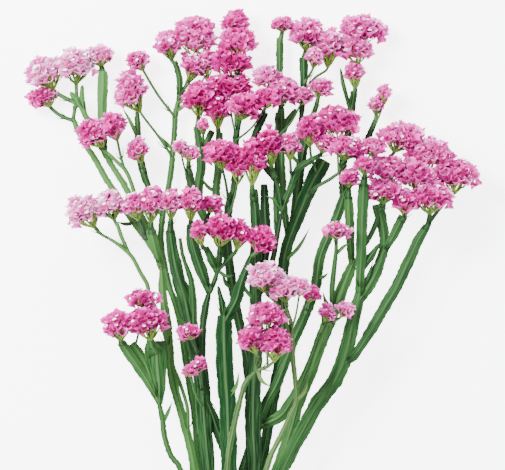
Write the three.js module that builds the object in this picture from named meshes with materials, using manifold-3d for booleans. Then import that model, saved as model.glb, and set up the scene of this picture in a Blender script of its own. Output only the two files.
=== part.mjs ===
// A cut bunch of pink statice (Limonium sinuatum) lying on its side.
// Thirteen winged, forked stems fan out from one gather. Under each flower head sits a green
// comb of bracts, and the heads are small domes covered with frilled papery florets.
// Every stem with its limbs and combs is one green node, and every group of heads that
// holds together is one pink node. Units are millimetres, +Y runs up the stems, +Z is up.

import * as THREE from 'three'
import { ConvexHull } from 'three/addons/math/ConvexHull.js'
import { mergeVertices } from 'three/addons/utils/BufferGeometryUtils.js'
import Module from 'manifold-3d'

const wasm = await Module()
wasm.setup()

// Driving dimensions.
const GRID = 0.8 // one step of the drawing grid; columns run right, rows run down the bunch
const ORIGIN_COLUMN = 252.82 // grid column of the middle of the bunch's box
const ORIGIN_ROW = 325.06 // grid row of the middle of the bunch's box
const TRUNK_STEP = 36 // length of one straight facet of a trunk
const TWIG_STEP = 54 // length of one straight facet of a limb or twig
const WING_EDGE = 0.7 // thickness of a wing at its edge
const RIDGE_SHARE = 0.42 // height of a stem's middle ridge, as a share of its width
const RIDGE_MIN = 2.2
const RIDGE_MAX = 4.2
const WINGED_FROM = 5.6 // stems at least this wide get thin wings beside the ridge
const TWIG_WIDTH = 2.4
const RUFFLE = 0.13 // how far a wing's edge wavers, as a share of its width
const FLORET_AREA = 330 // surface that one floret covers
const FLORETS_MIN = 7
const FLORETS_MAX = 13
const COMB_SEAT = 0.6 // how far below a head's middle its comb ends, as a share of its reach
const COMB_ROOT = 1.2 // how far below a head's middle its comb starts
const COMB_GAP = 0.35 // clearance between a comb and the florets on it
const COMB_SPREAD = 0.52 // radius of a comb's rim, as a share of its head's
const COMB_SIDES = 4
const LEAF_STEP = 24 // length of one straight facet of a leaflet
const LEAF_WIDTH = 3.2
const LEAF_TIP = 1 // least width of a leaflet
const LEAF_RISE = 2 // how far a leaflet's tip stands over its root
const LEAF_START = 0.18 // where a leaflet's outline starts on the half wave that shapes it
const LEAF_SPAN = 0.8 // how much of the half wave its length covers
const TWIG_DROP = 3 // how far below a head's middle its twig arrives
const TWIG_RIDGE = 0.9 // height of a plain twig, as a share of a winged one's ridge
const STEADY_FACETS = 4 // facets at the cut end whose edges don't waver
const ROOTS_PER_FACET = 8 // places on one facet where another run can root
const HEAD_DEPTH_MIN = 5.5 // least half depth of a head
const HEAD_DEPTH_MAX = 11
const TURN_JITTER = 0.35 // how far a floret strays round the head, in radians
const RISE_JITTER = 0.5 // how far it strays along the head's axis, as a share of a step
const VALLEY = 0.68 // depth of the creases between florets, as a share of the reach
const VALLEY_JITTER = 0.12
const DISH = 0.84 // depth of a floret's middle
const RIM_LEAN = 0.8 // how far a rim point lies from the floret's middle towards a crease
const RIM_LOW = 0.97 // least reach of a rim point
const RIM_JITTER = 0.1
const BASE_FACING = -0.62 // florets that face down more than this form the flat base
const SCRAP_VOLUME = 60 // loose bits smaller than this are dropped after joining
const FLOOR_BLOCK = 900 // side of the block that trims the underside flat
const FLOOR_DEPTH = 40
const STEM_ROUGHNESS = 0.75
const BLOOM_ROUGHNESS = 0.85
const GOLDEN_ANGLE = Math.PI * (3 - Math.sqrt(5))

// Stems: name of the run, the run it grows from, its widths from root to tip in
// millimetres, and its route as [column, row, height]. A height left out is filled in evenly.
// Heads: node, [column, row], [width, height] on the grid, height of the middle, and the
// route of the twig that carries it, which starts on the nearest run. A head with no twig
// grows out of the heads beside it.
const SPRAYS = {
  tall_left: {
    colour: 0x5f8747,
    runs: [
      ['trunk', null, [6.2, 6.2, 6, 4.8, 4.4, 4],
        [[211.5, 640, 1.4], [211.5, 590, 1.4], [203, 520, 3], [199, 470, 4], [195, 420], [190, 390],
          [186, 365], [183, 345], [180, 325, 7], [175, 305], [168, 285], [163, 262], [160, 240],
          [162, 215], [165, 200], [168, 185], [171, 165], [172, 150], [174, 130], [175, 112],
          [178, 100], [183, 88, 9]]],
      ['wing', 'trunk', [4, 4.8, 4.4], [[178, 100], [179, 78], [174, 60, 13]]],
      ['low', 'trunk', [4, 5, 6, 4.8, 5.2], [[163, 215], [154, 200], [147, 185], [142, 170, 11],
        [138, 146, 7], [136, 107, 9]]]
    ],
    leaves: [[[172, 150], [163, 140], [158, 134]], [[175, 112], [184, 104], [190, 97]],
      [[138, 140], [130, 122], [121, 106]]],
    heads: [
      ['bloom_top_left', [168, 42], [25, 29], 13, [[174, 62], [171, 58]]],
      ['bloom_top_left', [194, 63], [23, 30], 13, [[183, 88], [188, 82]]],
      ['bloom_top_left', [194, 36], [43, 41], 13],
      ['bloom_top_left', [206, 62], [15, 33], 13],
      ['bloom_bud_high', [137, 59], [20, 19], 12, [[174, 116], [158, 95], [145, 74]]],
      ['bloom_left_spike', [129.5, 90.5], [28, 42], 13, [[172, 157], [158, 136], [142, 116]]],
      ['bloom_bud_low', [137, 149], [18, 25], 23, [[143, 173], [142, 167]]]
    ]
  },
  left_trunk: {
    colour: 0x55803f,
    runs: [
      ['trunk', null, [6.2, 6.2, 6.6, 6.4, 6.4, 6],
        [[207.2, 636, 4.3], [207.2, 590, 4.3], [199, 520, 9], [194, 470, 13], [188, 440], [182, 418],
          [177, 400], [172, 380], [169, 350], [167, 325], [163, 300], [161, 267, 26]]],
      ['strand', 'trunk', [3.2, 3, 2.6], [[189, 436], [187, 410], [180, 385], [173, 365, 19]]],
      ['limb', 'trunk', [4.8, 5.4, 4.8, 4.4, 4],
        [[161, 270], [157, 256], [142, 233], [133, 222], [125, 210], [113, 190], [105, 178],
          [95, 160], [85, 145], [78, 132], [72, 118, 15]]],
      ['second', 'trunk', [4.6, 5.6, 4.6, 3.6, 4.8],
        [[161, 267], [156, 248], [148, 230], [136, 208], [122, 182], [113, 168], [104, 153],
          [95, 138], [88, 122], [81, 108], [75, 96, 14]]],
      ['shoulder', 'second', [3.8, 3.4, 3], [[138, 212], [133, 190], [125, 170], [117, 162],
        [108, 153, 30]]],
      ['broad_wing', 'second', [3.4, 6, 8, 8.4], [[104, 153], [102, 128], [101, 104], [102, 84],
        [102, 70, 13]]],
      ['wedge', 'second', [3, 5, 7], [[81, 108], [74, 98], [69, 91, 10]]],
      ['post', 'second', [3.4, 4.8], [[85, 114], [81, 100], [81, 84, 13]]],
      ['side', 'trunk', [4, 3.8, 3.4, 3],
        [[168, 350], [158, 315], [149, 296], [147, 285], [140, 272], [132, 257], [125, 250],
          [116, 243], [108, 238, 42]]],
      ['arm', 'side', [3, 3.6], [[130, 254], [122, 238], [117, 223, 43]]],
      ['middle', 'trunk', [4.4, 7.4, 9], [[161, 268], [155, 248], [151, 230, 44]]]
    ],
    leaves: [[[133, 222], [125, 224], [117, 222]], 
      [[169, 352], [176, 380], [180, 402]]],
    heads: [
      ['bloom_left_crest', [44, 71], [41, 30], 11, [[76, 104], [62, 96], [53, 91]]],
      ['bloom_left_crest', [74, 63], [38, 33], 12, [[74, 112], [75, 98], [75, 88]]],
      ['bloom_left_crest', [97, 53.5], [37, 19], 11, [[103, 76], [101, 68]]],
      ['bloom_left_low', [41, 96], [37, 17], 9, [[73, 121], [58, 114], [50, 108]]],
      ['bloom_left_shoulder', [93, 133], [32, 27], 31, [[112, 157], [104, 151]]],
      ['bloom_left_shoulder', [112, 125], [26, 26], 31, [[124, 168], [120, 155], [118, 144]]],
      ['bloom_side_left', [84, 211], [36, 31], 42, [[108, 238], [101, 234], [97, 231]]],
      ['bloom_side_left', [110, 204], [28, 27], 44, [[119, 227], [115, 222]]],
      ['bloom_left_middle', [134, 205.5], [22, 26], 52, [[148, 238], [141, 225]]],
      ['bloom_left_middle', [152, 202.5], [24, 34], 55, [[151, 234], [151, 226]]]
    ]
  },
  far_left: {
    colour: 0x5d8a50,
    runs: [
      ['trunk', null, [6.2, 6.2, 4.6, 4, 4.4],
        [[198.6, 632, 4.3], [198.6, 590, 4.3], [187, 520, 15], [180, 470, 24], [170, 455], [164, 435],
          [162, 418], [158, 400, 36]]],
      ['left', 'trunk', [4, 6, 8, 8], [[158, 402], [149, 384], [134, 361], [121, 342, 44]]],
      ['web', 'trunk', [3, 6, 6.4], [[154, 374], [142, 357], [132, 343, 41]]],
      ['right', 'trunk', [4.4, 9, 14, 18, 19], [[159, 404], [159, 386], [157, 366], [156, 341, 41]]]
    ],
    leaves: [[[163, 425], [168, 412], [172, 402]]],
    heads: [
      ['bloom_front_left', [119, 324], [29, 28], 52, [[122, 343], [121, 339]]],
      ['bloom_front_left', [147, 321], [40, 32], 54, [[157, 354], [152, 346], [151, 342]]],
      ['bloom_front_left', [143, 298], [34, 18], 53]
    ]
  },
  dark_blade: {
    colour: 0x34603a,
    runs: [
      ['trunk', null, [6.2, 6.2, 7, 7.4, 7, 6.4],
        [[220.1, 641, 1.4], [220.1, 596, 1.4], [222, 578, 1.6], [238, 520, 4], [249, 470, 8],
          [250, 430], [250, 400], [247, 360], [243, 340], [238, 318], [233, 290], [229, 262, 20],
          [227, 240], [228, 215],
          [230, 192, 34]]],
      ['left', 'trunk', [4.4, 6, 7, 7, 5], [[229, 262], [214, 234], [200, 208], [198, 188], [201, 165],
        [199, 145], [196, 126, 22]]],
      ['crown', 'trunk', [4.4, 6, 6, 6.4, 6], [[228, 236], [218, 214], [216, 192], [218, 170],
        [219, 145], [219, 132, 20]]],
      ['olive', 'left', [3, 4.4, 5.4], [[201, 165], [206, 144], [212, 130, 20]]],
      ['band', 'left', [3.4, 6, 7], [[199, 202], [191, 184], [188, 170, 43]]],
      ['right', 'trunk', [4.4, 5.4, 4.8, 5.4], [[228, 214], [234, 186], [236, 160], [236, 138],
        [237, 128, 31]]]
    ],
    leaves: [[[216, 192], [207, 186], [202, 178]], [[233, 290], [226, 284], [222, 272]]],
    heads: [
      ['bloom_band_left', [181, 147], [15, 15], 52],
      ['bloom_band_left', [190, 153], [16, 14], 52, [[188, 174], [188, 167]]],
      ['bloom_band_middle', [221, 153], [33, 26], 52, [[229, 206], [226, 184], [223, 172]]],
      ['bloom_band_middle', [238, 165], [20, 37], 50.6],
      ['bloom_crown', [217, 108], [21, 35], 23, [[219, 138], [218, 131]]],
      ['bloom_crown', [198, 97], [31, 31], 23, [[197, 128], [198, 119]]],
      ['bloom_crown', [229, 87], [48, 31], 18],
      ['bloom_crown', [231, 61], [38, 31], 16],
      ['bloom_crown', [238, 40], [34, 31], 15],
      ['bloom_crown', [235, 21], [24, 25], 13],
      ['bloom_left_drop', [203, 125], [8, 17], 31, [[200, 152], [203, 144], [203, 138]]],
      ['bloom_crown_low', [245, 105], [36, 25], 38, [[237, 138], [238, 128], [239, 123]]],
      ['bloom_crown_low', [266, 98], [27, 20], 37]
    ]
  },
  back_right: {
    colour: 0x4b7a48,
    runs: [
      ['trunk', null, [6.2, 6.2, 8, 9, 9, 9, 14],
        [[228.7, 634, 1.4], [228.8, 600, 1.4], [231.5, 578, 1.6], [247, 520, 4], [262, 460, 8],
          [270, 420], [277, 380], [282, 350, 11], [283, 320], [282, 290], [285, 255], [291, 235, 13],
          [299, 215], [307, 195],
          [316, 176], [325, 160, 26]]],
      ['knot', 'trunk', [5.6, 7, 6.4, 6], [[292, 231], [297, 195], [301, 165], [306, 140],
        [312, 116, 18]]],
      ['high', 'knot', [4, 4, 3.4, 5.2, 8], [[300, 170], [300, 140], [302, 112], [304, 84],
        [304, 56, 9]]],
      ['small', 'trunk', [4, 5.4, 5, 5, 4.4, 4.8, 6],
        [[289, 240], [284, 205], [282, 160], [282, 120], [280, 80], [280, 36, 8]]],
      ['prong', 'small', [3.6, 5, 5.4], [[283, 136], [288, 120], [296, 108, 15]]],
      ['thin', 'trunk', [3, 2.8], [[304, 197], [315, 188], [330, 179], [340, 172, 48]]]
    ],
    leaves: [[[287, 262], [299, 247], [310, 228]], [[301, 165], [293, 156], [289, 148]]],
    heads: [
      ['bloom_centre_right', [310, 129], [25, 28], 42, [[314, 172], [312, 160], [310, 151]]],
      ['bloom_centre_right', [337, 122], [46, 33], 43],
      ['bloom_right_knot', [321.5, 86], [22, 17], 30, [[312, 118], [316, 107], [318, 98]]],
      ['bloom_top_right', [308, 31.5], [34, 30], 12, [[304, 62], [305, 56], [306, 52]]],
      ['bloom_top_right', [330, 44], [24, 38], 13, [[304, 90], [316, 76], [328, 66]]],
      ['bloom_top_right_low', [315, 56], [15, 19], 25, [[304, 84], [309, 75], [313, 69]]],
      ['bloom_top_small', [283, 22], [23, 14], 11, [[281, 40], [282, 34]]],
      ['bloom_centre_right_low', [347, 147.5], [37, 22], 58, [[338, 174], [342, 166]]],
      ['bloom_centre_right_low', [372, 147], [27, 18], 57]
    ]
  },
  right_inner: {
    colour: 0x5d8a50,
    runs: [
      ['trunk', null, [6.2, 6.2, 7, 8, 8, 7],
        [[224.4, 630, 4.3], [224.4, 590, 4.3], [234, 520, 10], [243, 470, 15], [257, 430], [267, 403],
          [277, 384], [286, 360], [295, 338], [303, 320], [311, 300], [316, 285], [318, 272, 23],
          [321, 255], [327, 240], [335, 222], [341, 205], [345, 190, 24]]],
      ['crest', 'trunk', [5, 6, 6, 6],
        [[341, 196], [343, 165], [348, 135], [352, 108], [355, 90, 13]]],
      ['second', 'crest', [3, 3.4, 4], [[351, 112], [348, 99], [344, 84], [341, 67, 11]]],
      ['spike', 'trunk', [4, 4.6, 4.4], [[342, 192], [352, 176], [363, 150], [371, 132],
        [376, 120, 15]]],
      ['thin', 'trunk', [6, 9, 7.6, 4.4, 3, 2.8], [[262, 430], [280, 417], [292, 400], [302, 380],
        [310, 360],
        [317, 340], [320, 330, 42]]]
    ],
    leaves: [[[316, 278], [324, 277], [328, 273]]],
    heads: [
      ['bloom_right_crest', [355, 71], [17, 29], 12, [[355, 96], [356, 90]]],
      ['bloom_right_crest', [357, 46], [32, 34], 12],
      ['bloom_right_crest', [363, 28], [45, 30], 10.8],
      ['bloom_right_spike', [385, 92], [11, 22], 14],
      ['bloom_right_spike', [377, 103], [14, 20], 14, [[376, 122], [377, 116]]],
      ['bloom_bud_inner', [312, 293], [16, 15], 37, [[304, 316], [307, 306]]],
      ['bloom_bud_middle', [327, 312], [14, 20], 48, [[317, 331], [322, 326]]]
    ]
  },
  right_outer: {
    colour: 0x4a7d52,
    runs: [
      ['trunk', null, [6.2, 6.2, 7.6, 9.4, 10.4, 10, 8.4],
        [[238.3, 638, 1.4], [238.3, 590, 1.4], [258, 520, 9], [278, 470, 18], [291, 430], [300, 397],
          [311, 370], [322, 340], [334, 310], [340, 295], [348, 275], [355, 258, 37]]],
      ['upper', 'trunk', [4.4, 7, 7.4], [[352, 266], [350, 240], [349, 215], [348, 197, 52]]],
      ['single', 'trunk', [4, 4.4, 4], [[333, 312], [332, 290], [334, 268], [336, 250, 50]]]
    ],
    leaves: [[[352, 268], [363, 261], [372, 256]], [[334, 310], [326, 302], [323, 292]],
      [[336, 254], [344, 246], [350, 243]]],
    heads: [
      ['bloom_right_small_low', [349, 178], [18, 17], 58, [[348, 199], [348, 193]]],
      ['bloom_right_single', [336, 230], [29, 15], 56, [[336, 252], [336, 243]]],
      ['bloom_bud_outer', [346, 309], [16, 15], 50, [[330, 326], [339, 319]]]
    ]
  },
  broad_middle: {
    colour: 0x3f6b3a,
    runs: [
      ['trunk', null, [6.2, 6.2, 11, 13, 11, 9.4, 7],
        [[233, 640, 4.3], [233, 590, 4.3], [245, 520, 16], [254, 470, 24], [253, 430], [253, 400],
          [254, 370], [256, 340], [256, 300, 33], [255, 270], [256, 240], [256, 222], [253, 189, 37]]],
      ['blade', 'trunk', [5, 7, 7.4, 6], [[258, 290], [263, 268], [266, 240], [265, 212],
        [264, 184, 37]]],
      ['fork', 'trunk', [4.4, 4.4, 4], [[256, 300], [266, 280], [273, 258], [277, 235],
        [282, 209, 42]]],
      ['fork_left', 'fork', [3.2, 3.2], [[282, 212], [279, 192], [274, 176, 45]]],
      ['fork_right', 'fork', [4, 5.4, 5.4], [[282, 212], [291, 186], [297, 170], [311, 160, 50]]],
      ['high', 'fork', [4.4, 4.6, 3.6, 3.2], [[276, 232], [276, 200], [277, 165], [277, 130],
        [277, 112, 20]]],
      ['reach', 'high', [3.6, 5.4, 6, 5], [[276, 180], [262, 162], [254, 142], [258, 128],
        [266, 112, 23]]]
    ],
    leaves: [[[282, 209], [275, 200], [266, 196]], [[256, 300], [247, 292], [240, 278]]],
    heads: [
      ['bloom_band_middle', [252.5, 160], [24, 43], 53, [[254, 202], [253, 194], [252, 188]]],
      ['bloom_band_middle', [269, 145], [24, 37], 53, [[274, 178], [272, 172]]],
      ['bloom_band_right', [290, 145], [18, 26], 52, [[292, 184], [291, 172], [290, 164]]],
      ['bloom_centre_right', [326, 142], [26, 19], 45, [[311, 162], [320, 157]]],
      ['bloom_top_middle', [284, 89], [28, 26], 25, [[277, 116], [280, 108]]],
      ['bloom_top_middle', [268, 76], [28, 22], 21],
      ['bloom_top_middle', [302, 95], [24, 17], 25]
    ]
  },
  right_broad: {
    colour: 0x44743f,
    runs: [
      ['trunk', null, [6.2, 6.2, 9, 11.4, 12, 9],
        [[241.6, 642, 4.3], [241.6, 590, 4.3], [262, 520, 18], [283, 470, 28], [294, 447], [306, 425],
          [319, 402], [334, 382], [342, 365], [348, 345], [353, 320], [358, 300], [361, 286, 38]]],
      ['outer', 'trunk', [6, 8.4, 9, 7],
        [[343, 366], [354, 356], [365, 340], [376, 322], [386, 305], [396, 288], [408, 262],
          [418, 240], [427, 226, 42]]],
      ['upper', 'trunk', [6.4, 8, 8.4, 9], [[361, 294], [361, 250], [362, 215], [363, 184, 58]]],
      ['inner', 'trunk', [7, 9.4, 8.4, 7, 8.4, 11],
        [[360, 304], [369, 286], [377, 270], [383, 252], [384, 236], [378, 204, 38]]],
      ['sail', 'upper', [4, 6, 4], [[361, 272], [370, 257], [380, 243, 42]]],
      ['fan', 'inner', [4, 6.4, 9], [[382, 256], [391, 240], [398, 226], [403, 216, 42]]],
      ['far', 'outer', [3.4, 3, 2.8], [[424, 236], [434, 216], [444, 204], [452, 196, 30]]],
      ['crest', 'upper', [4, 4.4, 3.4, 3.2], [[361, 250], [371, 234], [379, 214], [386, 180],
        [391, 154, 27]]]
    ],
    leaves: [[[361, 290], [368, 276], [373, 262]], [[336, 372], [332, 388], [324, 402]]],
    heads: [
      ['bloom_right_small_high', [364, 165], [18, 17], 66, [[363, 186], [364, 180]]],
      ['bloom_far_right_top', [402, 136], [47, 27], 26, [[391, 156], [395, 151]]],
      ['bloom_far_right_top', [429, 154], [50, 32], 27],
      ['bloom_far_right_top', [455, 174], [48, 31], 27, [[452, 198], [454, 193]]],
      ['bloom_far_right_mid', [384, 190], [37, 23], 51, [[380, 212], [383, 204]]],
      ['bloom_far_right_mid', [405, 201], [23, 25], 51, [[402, 220], [404, 217]]],
      ['bloom_far_right_mid', [430, 196], [42, 30], 51, [[426, 231], [428, 224], [429, 218]]],
      ['bloom_far_right_mid', [389, 169], [41, 25], 50],
      ['bloom_far_right_mid', [414, 175], [34, 26], 51]
    ]
  },
  broad_left: {
    colour: 0x3d6e40,
    runs: [
      ['trunk', null, [6.2, 6.2, 9.4, 10.8, 12, 13, 11, 8],
        [[215.8, 637, 4.3], [215.8, 590, 4.3], [211, 520, 18], [208, 470, 27], [204, 420], [201, 380],
          [196, 350, 36], [190, 325], [185, 300], [179, 280], [175, 262], [172, 246], [170, 230, 49]]],
      ['cross', 'trunk', [5, 8, 8, 7], [[203, 392], [210, 410], [217, 430], [226, 452],
        [232, 472, 22]]],
      ['fork', 'trunk', [5, 5.4, 5.6], [[202, 376], [202, 350], [203, 325], [206, 305],
        [210, 290, 48]]],
      ['fork_left', 'fork', [5, 9, 9.4, 6],
        [[209, 292], [203, 275], [197, 258], [192, 240], [190, 224, 54]]],
      ['fork_right', 'fork', [4, 4], [[210, 292], [214, 282], [218, 270, 53]]],
      ['low_limb', 'fork_right', [3.6, 6.4, 5], [[217, 272], [212, 260], [206, 247, 62]]],
      ['low_stem', 'fork_right', [3.6, 5.4, 5], [[218, 272], [219, 260], [220, 249, 60]]],
      ['dark', 'trunk', [5.4, 6, 5, 2.8, 2.6], [[194, 338], [193, 305], [191, 280], [183, 256],
        [180, 238, 50]]]
    ],
    leaves: [[[218, 270], [226, 276], [234, 275]], [[190, 325], [182, 322], [177, 314]]],
    heads: [
      ['bloom_left_pointed', [172, 202], [18, 30], 60, [[171, 232], [171, 223]]],
      ['bloom_left_pair', [191, 202], [19, 33], 64, [[190, 228], [191, 220]]],
      ['bloom_low_ruffle', [212, 204], [23, 15], 56, [[194, 242], [203, 226], [209, 214]]],
      ['bloom_low_left', [199, 232], [14, 25], 70, [[208, 250], [203, 248]]],
      ['bloom_low_middle', [223, 229], [32, 29], 66, [[219, 254], [220, 247]]],
      ['bloom_low_middle', [240, 233.5], [20, 28], 65, [[218, 270], [230, 258], [236, 252]]],
      ['bloom_stalk_upper', [189, 331], [26, 14], 56, [[200, 360], [196, 348], [192, 341]]],
      ['bloom_stalk_lower', [190, 370], [14, 12], 52],
      ['bloom_stalk_lower', [199, 364], [15, 13], 52, [[203, 396], [201, 382], [200, 376]]]
    ]
  },
  broad_fork: {
    colour: 0x4f8345,
    runs: [
      ['trunk', null, [6.2, 6.2, 11, 12.4, 13, 13.4, 13],
        [[220.1, 633, 7.2], [220.1, 590, 7.2], [225, 520, 24], [229, 470, 34], [228, 430], [227, 400],
          [225, 370], [224, 340], [224, 315, 50]]],
      ['right', 'trunk', [8.4, 9, 6.6, 4.4], [[228, 322], [236, 300], [241, 283], [248, 265],
        [252, 254, 60]]],
      ['left', 'trunk', [5.6, 4.8, 4.4], [[225, 322], [222, 303], [218, 286, 53]]]
    ],
    leaves: [[[228, 400], [236, 386], [239, 372]]],
    heads: [
      ['bloom_low_right', [262, 239], [25, 24], 68, [[252, 257], [256, 252]]]
    ]
  },
  front_middle: {
    colour: 0x7ba35c,
    runs: [
      ['trunk', null, [6.2, 6.2, 4.4, 3.8, 3.4, 3],
        [[228.7, 637, 7.2], [228.7, 590, 7.2], [249, 520, 27], [266, 470, 40], [271, 455], [280, 437],
          [290, 415], [296, 401], [295, 380], [293, 360], [292, 340], [290, 320], [286, 308, 64]]],
      ['left', 'trunk', [3, 2.8, 2.6], [[292, 340], [284, 318], [276, 303], [269, 295, 70]]]
    ],
    leaves: [[[296, 401], [304, 392], [308, 382]]],
    heads: [
      ['bloom_front_high', [265, 276], [35, 28], 78, [[271, 300], [267, 294]]],
      ['bloom_front_high', [284, 287], [26, 24], 78, [[286, 310], [286, 304]]],
      ['bloom_front_high', [299, 286], [20, 18], 78]
    ]
  },
  front_left: {
    colour: 0x7fae62,
    runs: [
      ['trunk', null, [6.2, 6.2, 4.8, 4.2, 3.6],
        [[211, 635, 7.2], [211, 590, 7.2], [222, 520, 31], [227, 470, 48], [229, 450], [234, 425],
          [240, 400], [244, 385], [249, 377], [257, 369, 74]]],
      ['up', 'trunk', [3, 2.8], [[256, 371], [258, 360], [258, 353, 79]]],
      ['side', 'trunk', [2.8, 2.6], [[257, 370], [266, 366], [273, 361, 79]]]
    ],
    leaves: [[[257, 370], [262, 380], [270, 385]]],
    heads: [
      ['bloom_front_low', [251, 337], [24, 27], 85, [[258, 355], [256, 352]]],
      ['bloom_front_low', [274, 341], [30, 32], 85, [[273, 362], [274, 359]]],
      ['bloom_front_low', [266, 315], [34, 27], 86]
    ]
  }
}

const PINK = {
  bloom_crown: 0xc52c93,
  bloom_crown_low: 0xc2328f,
  bloom_band_middle: 0xca4a9c,
  bloom_low_right: 0xc63f96,
  bloom_low_middle: 0xcc4f9f,
  bloom_far_right_mid: 0xcf57a4,
  bloom_front_low: 0xcb4d9d
}
const PINK_PLAIN = 0xd774b4
const PINK_PALE = ['bloom_left_crest', 'bloom_side_left', 'bloom_front_high']
const PINK_LIGHT = 0xdf92c4

// A repeatable random draw, seeded for each node by its name.
function seededDraw (name) {
  let state = [...name].reduce((sum, letter) => sum * 31 + letter.charCodeAt(0), 7) >>> 0
  return () => {
    state = (state * 1664525 + 1013904223) >>> 0
    return state / 4294967296
  }
}

function place (column, row, height) {
  return new THREE.Vector3((column - ORIGIN_COLUMN) * GRID, (ORIGIN_ROW - row) * GRID, height)
}

// Turns a route of [column, row, height] into points, filling the heights left out in
// proportion to the distance along the route.
function routePoints (route, startHeight, endHeight) {
  const points = route.map(([column, row]) => place(column, row, 0))
  const along = [0]
  for (let i = 1; i < points.length; i++) {
    along.push(along[i - 1] + points[i].distanceTo(points[i - 1]))
  }
  const heights = route.map((step) => step[2])
  heights[0] = heights[0] ?? startHeight
  heights[route.length - 1] = heights[route.length - 1] ?? endHeight
  const known = heights.map((height, i) => (height === undefined ? -1 : i)).filter((i) => i >= 0)
  points.forEach((point, i) => {
    const before = known.filter((k) => k <= i).pop()
    const after = known.find((k) => k >= i)
    const span = along[after] - along[before]
    const share = span > 0 ? (along[i] - along[before]) / span : 0
    point.z = THREE.MathUtils.lerp(heights[before], heights[after], share)
  })
  return points
}

function sampleRoute (points, step) {
  const curve = new THREE.CatmullRomCurve3(points, false, 'centripetal')
  return curve.getSpacedPoints(Math.max(1, Math.round(curve.getLength() / step)))
}

function widthAlong (widths, share) {
  const position = share * (widths.length - 1)
  const index = Math.min(Math.floor(position), widths.length - 2)
  return THREE.MathUtils.lerp(widths[index], widths[index + 1], position - index)
}

// The outline of a stem across its run: two thin wings with a ridge above and below, or a
// plain lozenge on a thin twig. Points run anticlockwise seen from the tip.
function stemSection (width, winged) {
  const half = width / 2
  const ridge = THREE.MathUtils.clamp(width * RIDGE_SHARE, RIDGE_MIN, RIDGE_MAX) / 2
  const edge = WING_EDGE / 2
  if (winged) {
    return [[half, edge], [0, ridge], [-half, edge], [-half, -edge], [0, -ridge], [half, -edge]]
  }
  return [[half, 0], [0, ridge * TWIG_RIDGE], [-half, 0], [0, -ridge * TWIG_RIDGE]]
}

function leafSection (width) {
  const edge = WING_EDGE / 2
  return [[width / 2, edge], [-width / 2, edge], [-width / 2, -edge], [width / 2, -edge]]
}

// Sweeps sections along sampled points and closes both ends. The lower faces are split the
// other way round from the upper ones, so that a wavy wing keeps its thickness.
function sweep (samples, sectionAt) {
  const positions = []
  const faces = []
  let ringSize = 0
  samples.forEach((point, i) => {
    const ahead = samples[Math.min(i + 1, samples.length - 1)]
    const behind = samples[Math.max(i - 1, 0)]
    const tangent = ahead.clone().sub(behind).normalize()
    const side = tangent.clone().cross(new THREE.Vector3(0, 0, 1)).normalize()
    const normal = side.clone().cross(tangent).normalize()
    const section = sectionAt(i / (samples.length - 1), i)
    ringSize = section.length
    for (const [across, over] of section) {
      const corner = point.clone().addScaledVector(side, across).addScaledVector(normal, over)
      positions.push(corner.x, corner.y, corner.z)
    }
  })
  for (let i = 0; i < samples.length - 1; i++) {
    for (let j = 0; j < ringSize; j++) {
      const a = i * ringSize + j
      const b = i * ringSize + (j + 1) % ringSize
      const c = b + ringSize
      const d = a + ringSize
      if (j < ringSize / 2) {
        faces.push(a, c, b, a, d, c)
      } else {
        faces.push(a, d, b, b, d, c)
      }
    }
  }
  const last = (samples.length - 1) * ringSize
  for (let j = 1; j < ringSize - 1; j++) {
    faces.push(0, j, j + 1)
    faces.push(last, last + j + 1, last + j)
  }
  return meshGeometry(positions, faces)
}

function meshGeometry (positions, faces) {
  const geometry = new THREE.BufferGeometry()
  geometry.setAttribute('position', new THREE.Float32BufferAttribute(positions, 3))
  geometry.setIndex(faces)
  return geometry
}

// Makes a solid of a closed geometry, with its faces turned outwards.
function solidOf (geometry) {
  const bare = geometry.index ? geometry.clone() : mergeVertices(geometry)
  const faces = Uint32Array.from(bare.index.array)
  const positions = Float32Array.from(bare.attributes.position.array)
  if (signedVolume(positions, faces) < 0) {
    for (let i = 0; i < faces.length; i += 3) {
      [faces[i], faces[i + 1]] = [faces[i + 1], faces[i]]
    }
  }
  return new wasm.Manifold(new wasm.Mesh({ numProp: 3, vertProperties: positions, triVerts: faces }))
}

function signedVolume (positions, faces) {
  const corner = (index) => new THREE.Vector3().fromArray(positions, faces[index] * 3)
  let sum = 0
  for (let i = 0; i < faces.length; i += 3) {
    sum += corner(i).dot(corner(i + 1).cross(corner(i + 2)))
  }
  return sum
}

function geometryOf (solid) {
  const mesh = solid.getMesh()
  const geometry = meshGeometry(Array.from(mesh.vertProperties), Array.from(mesh.triVerts))
  geometry.computeVertexNormals()
  return geometry
}

// One winged run of a stem, its edges wavering a little from facet to facet.
function stemRun (samples, widths, draw) {
  const winged = Math.max(...widths) >= WINGED_FROM
  return solidOf(sweep(samples, (share, index) => {
    const steady = index < STEADY_FACETS && widths[0] === widths[1]
    const waver = winged && !steady ? 1 + RUFFLE * (index % 2 ? 1 : -1) * (0.5 + draw()) : 1
    return stemSection(widthAlong(widths, share) * waver, winged)
  }))
}

// A sickle leaflet: a thin blade, widest a third of the way along.
function leaflet (samples, width) {
  return solidOf(sweep(samples, (share) => {
    const wave = Math.sin(Math.PI * (LEAF_START + LEAF_SPAN * share))
    return leafSection(Math.max(LEAF_TIP, width * wave))
  }))
}

function headOf (entry, draw) {
  const [node, [column, row], [wide, tall], height] = entry
  const middle = place(column, row, height)
  const half = new THREE.Vector3(wide, tall, Math.min(wide, tall)).multiplyScalar(GRID / 2)
  half.z = THREE.MathUtils.clamp(half.z, HEAD_DEPTH_MIN, HEAD_DEPTH_MAX)
  return { node, middle, half, draw, up: new THREE.Vector3(0, 1, 0), comb: false }
}

// How far the head's surface lies from its middle in one direction.
function reach (head, direction) {
  return 1 / direction.clone().divide(head.half).length()
}

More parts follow.
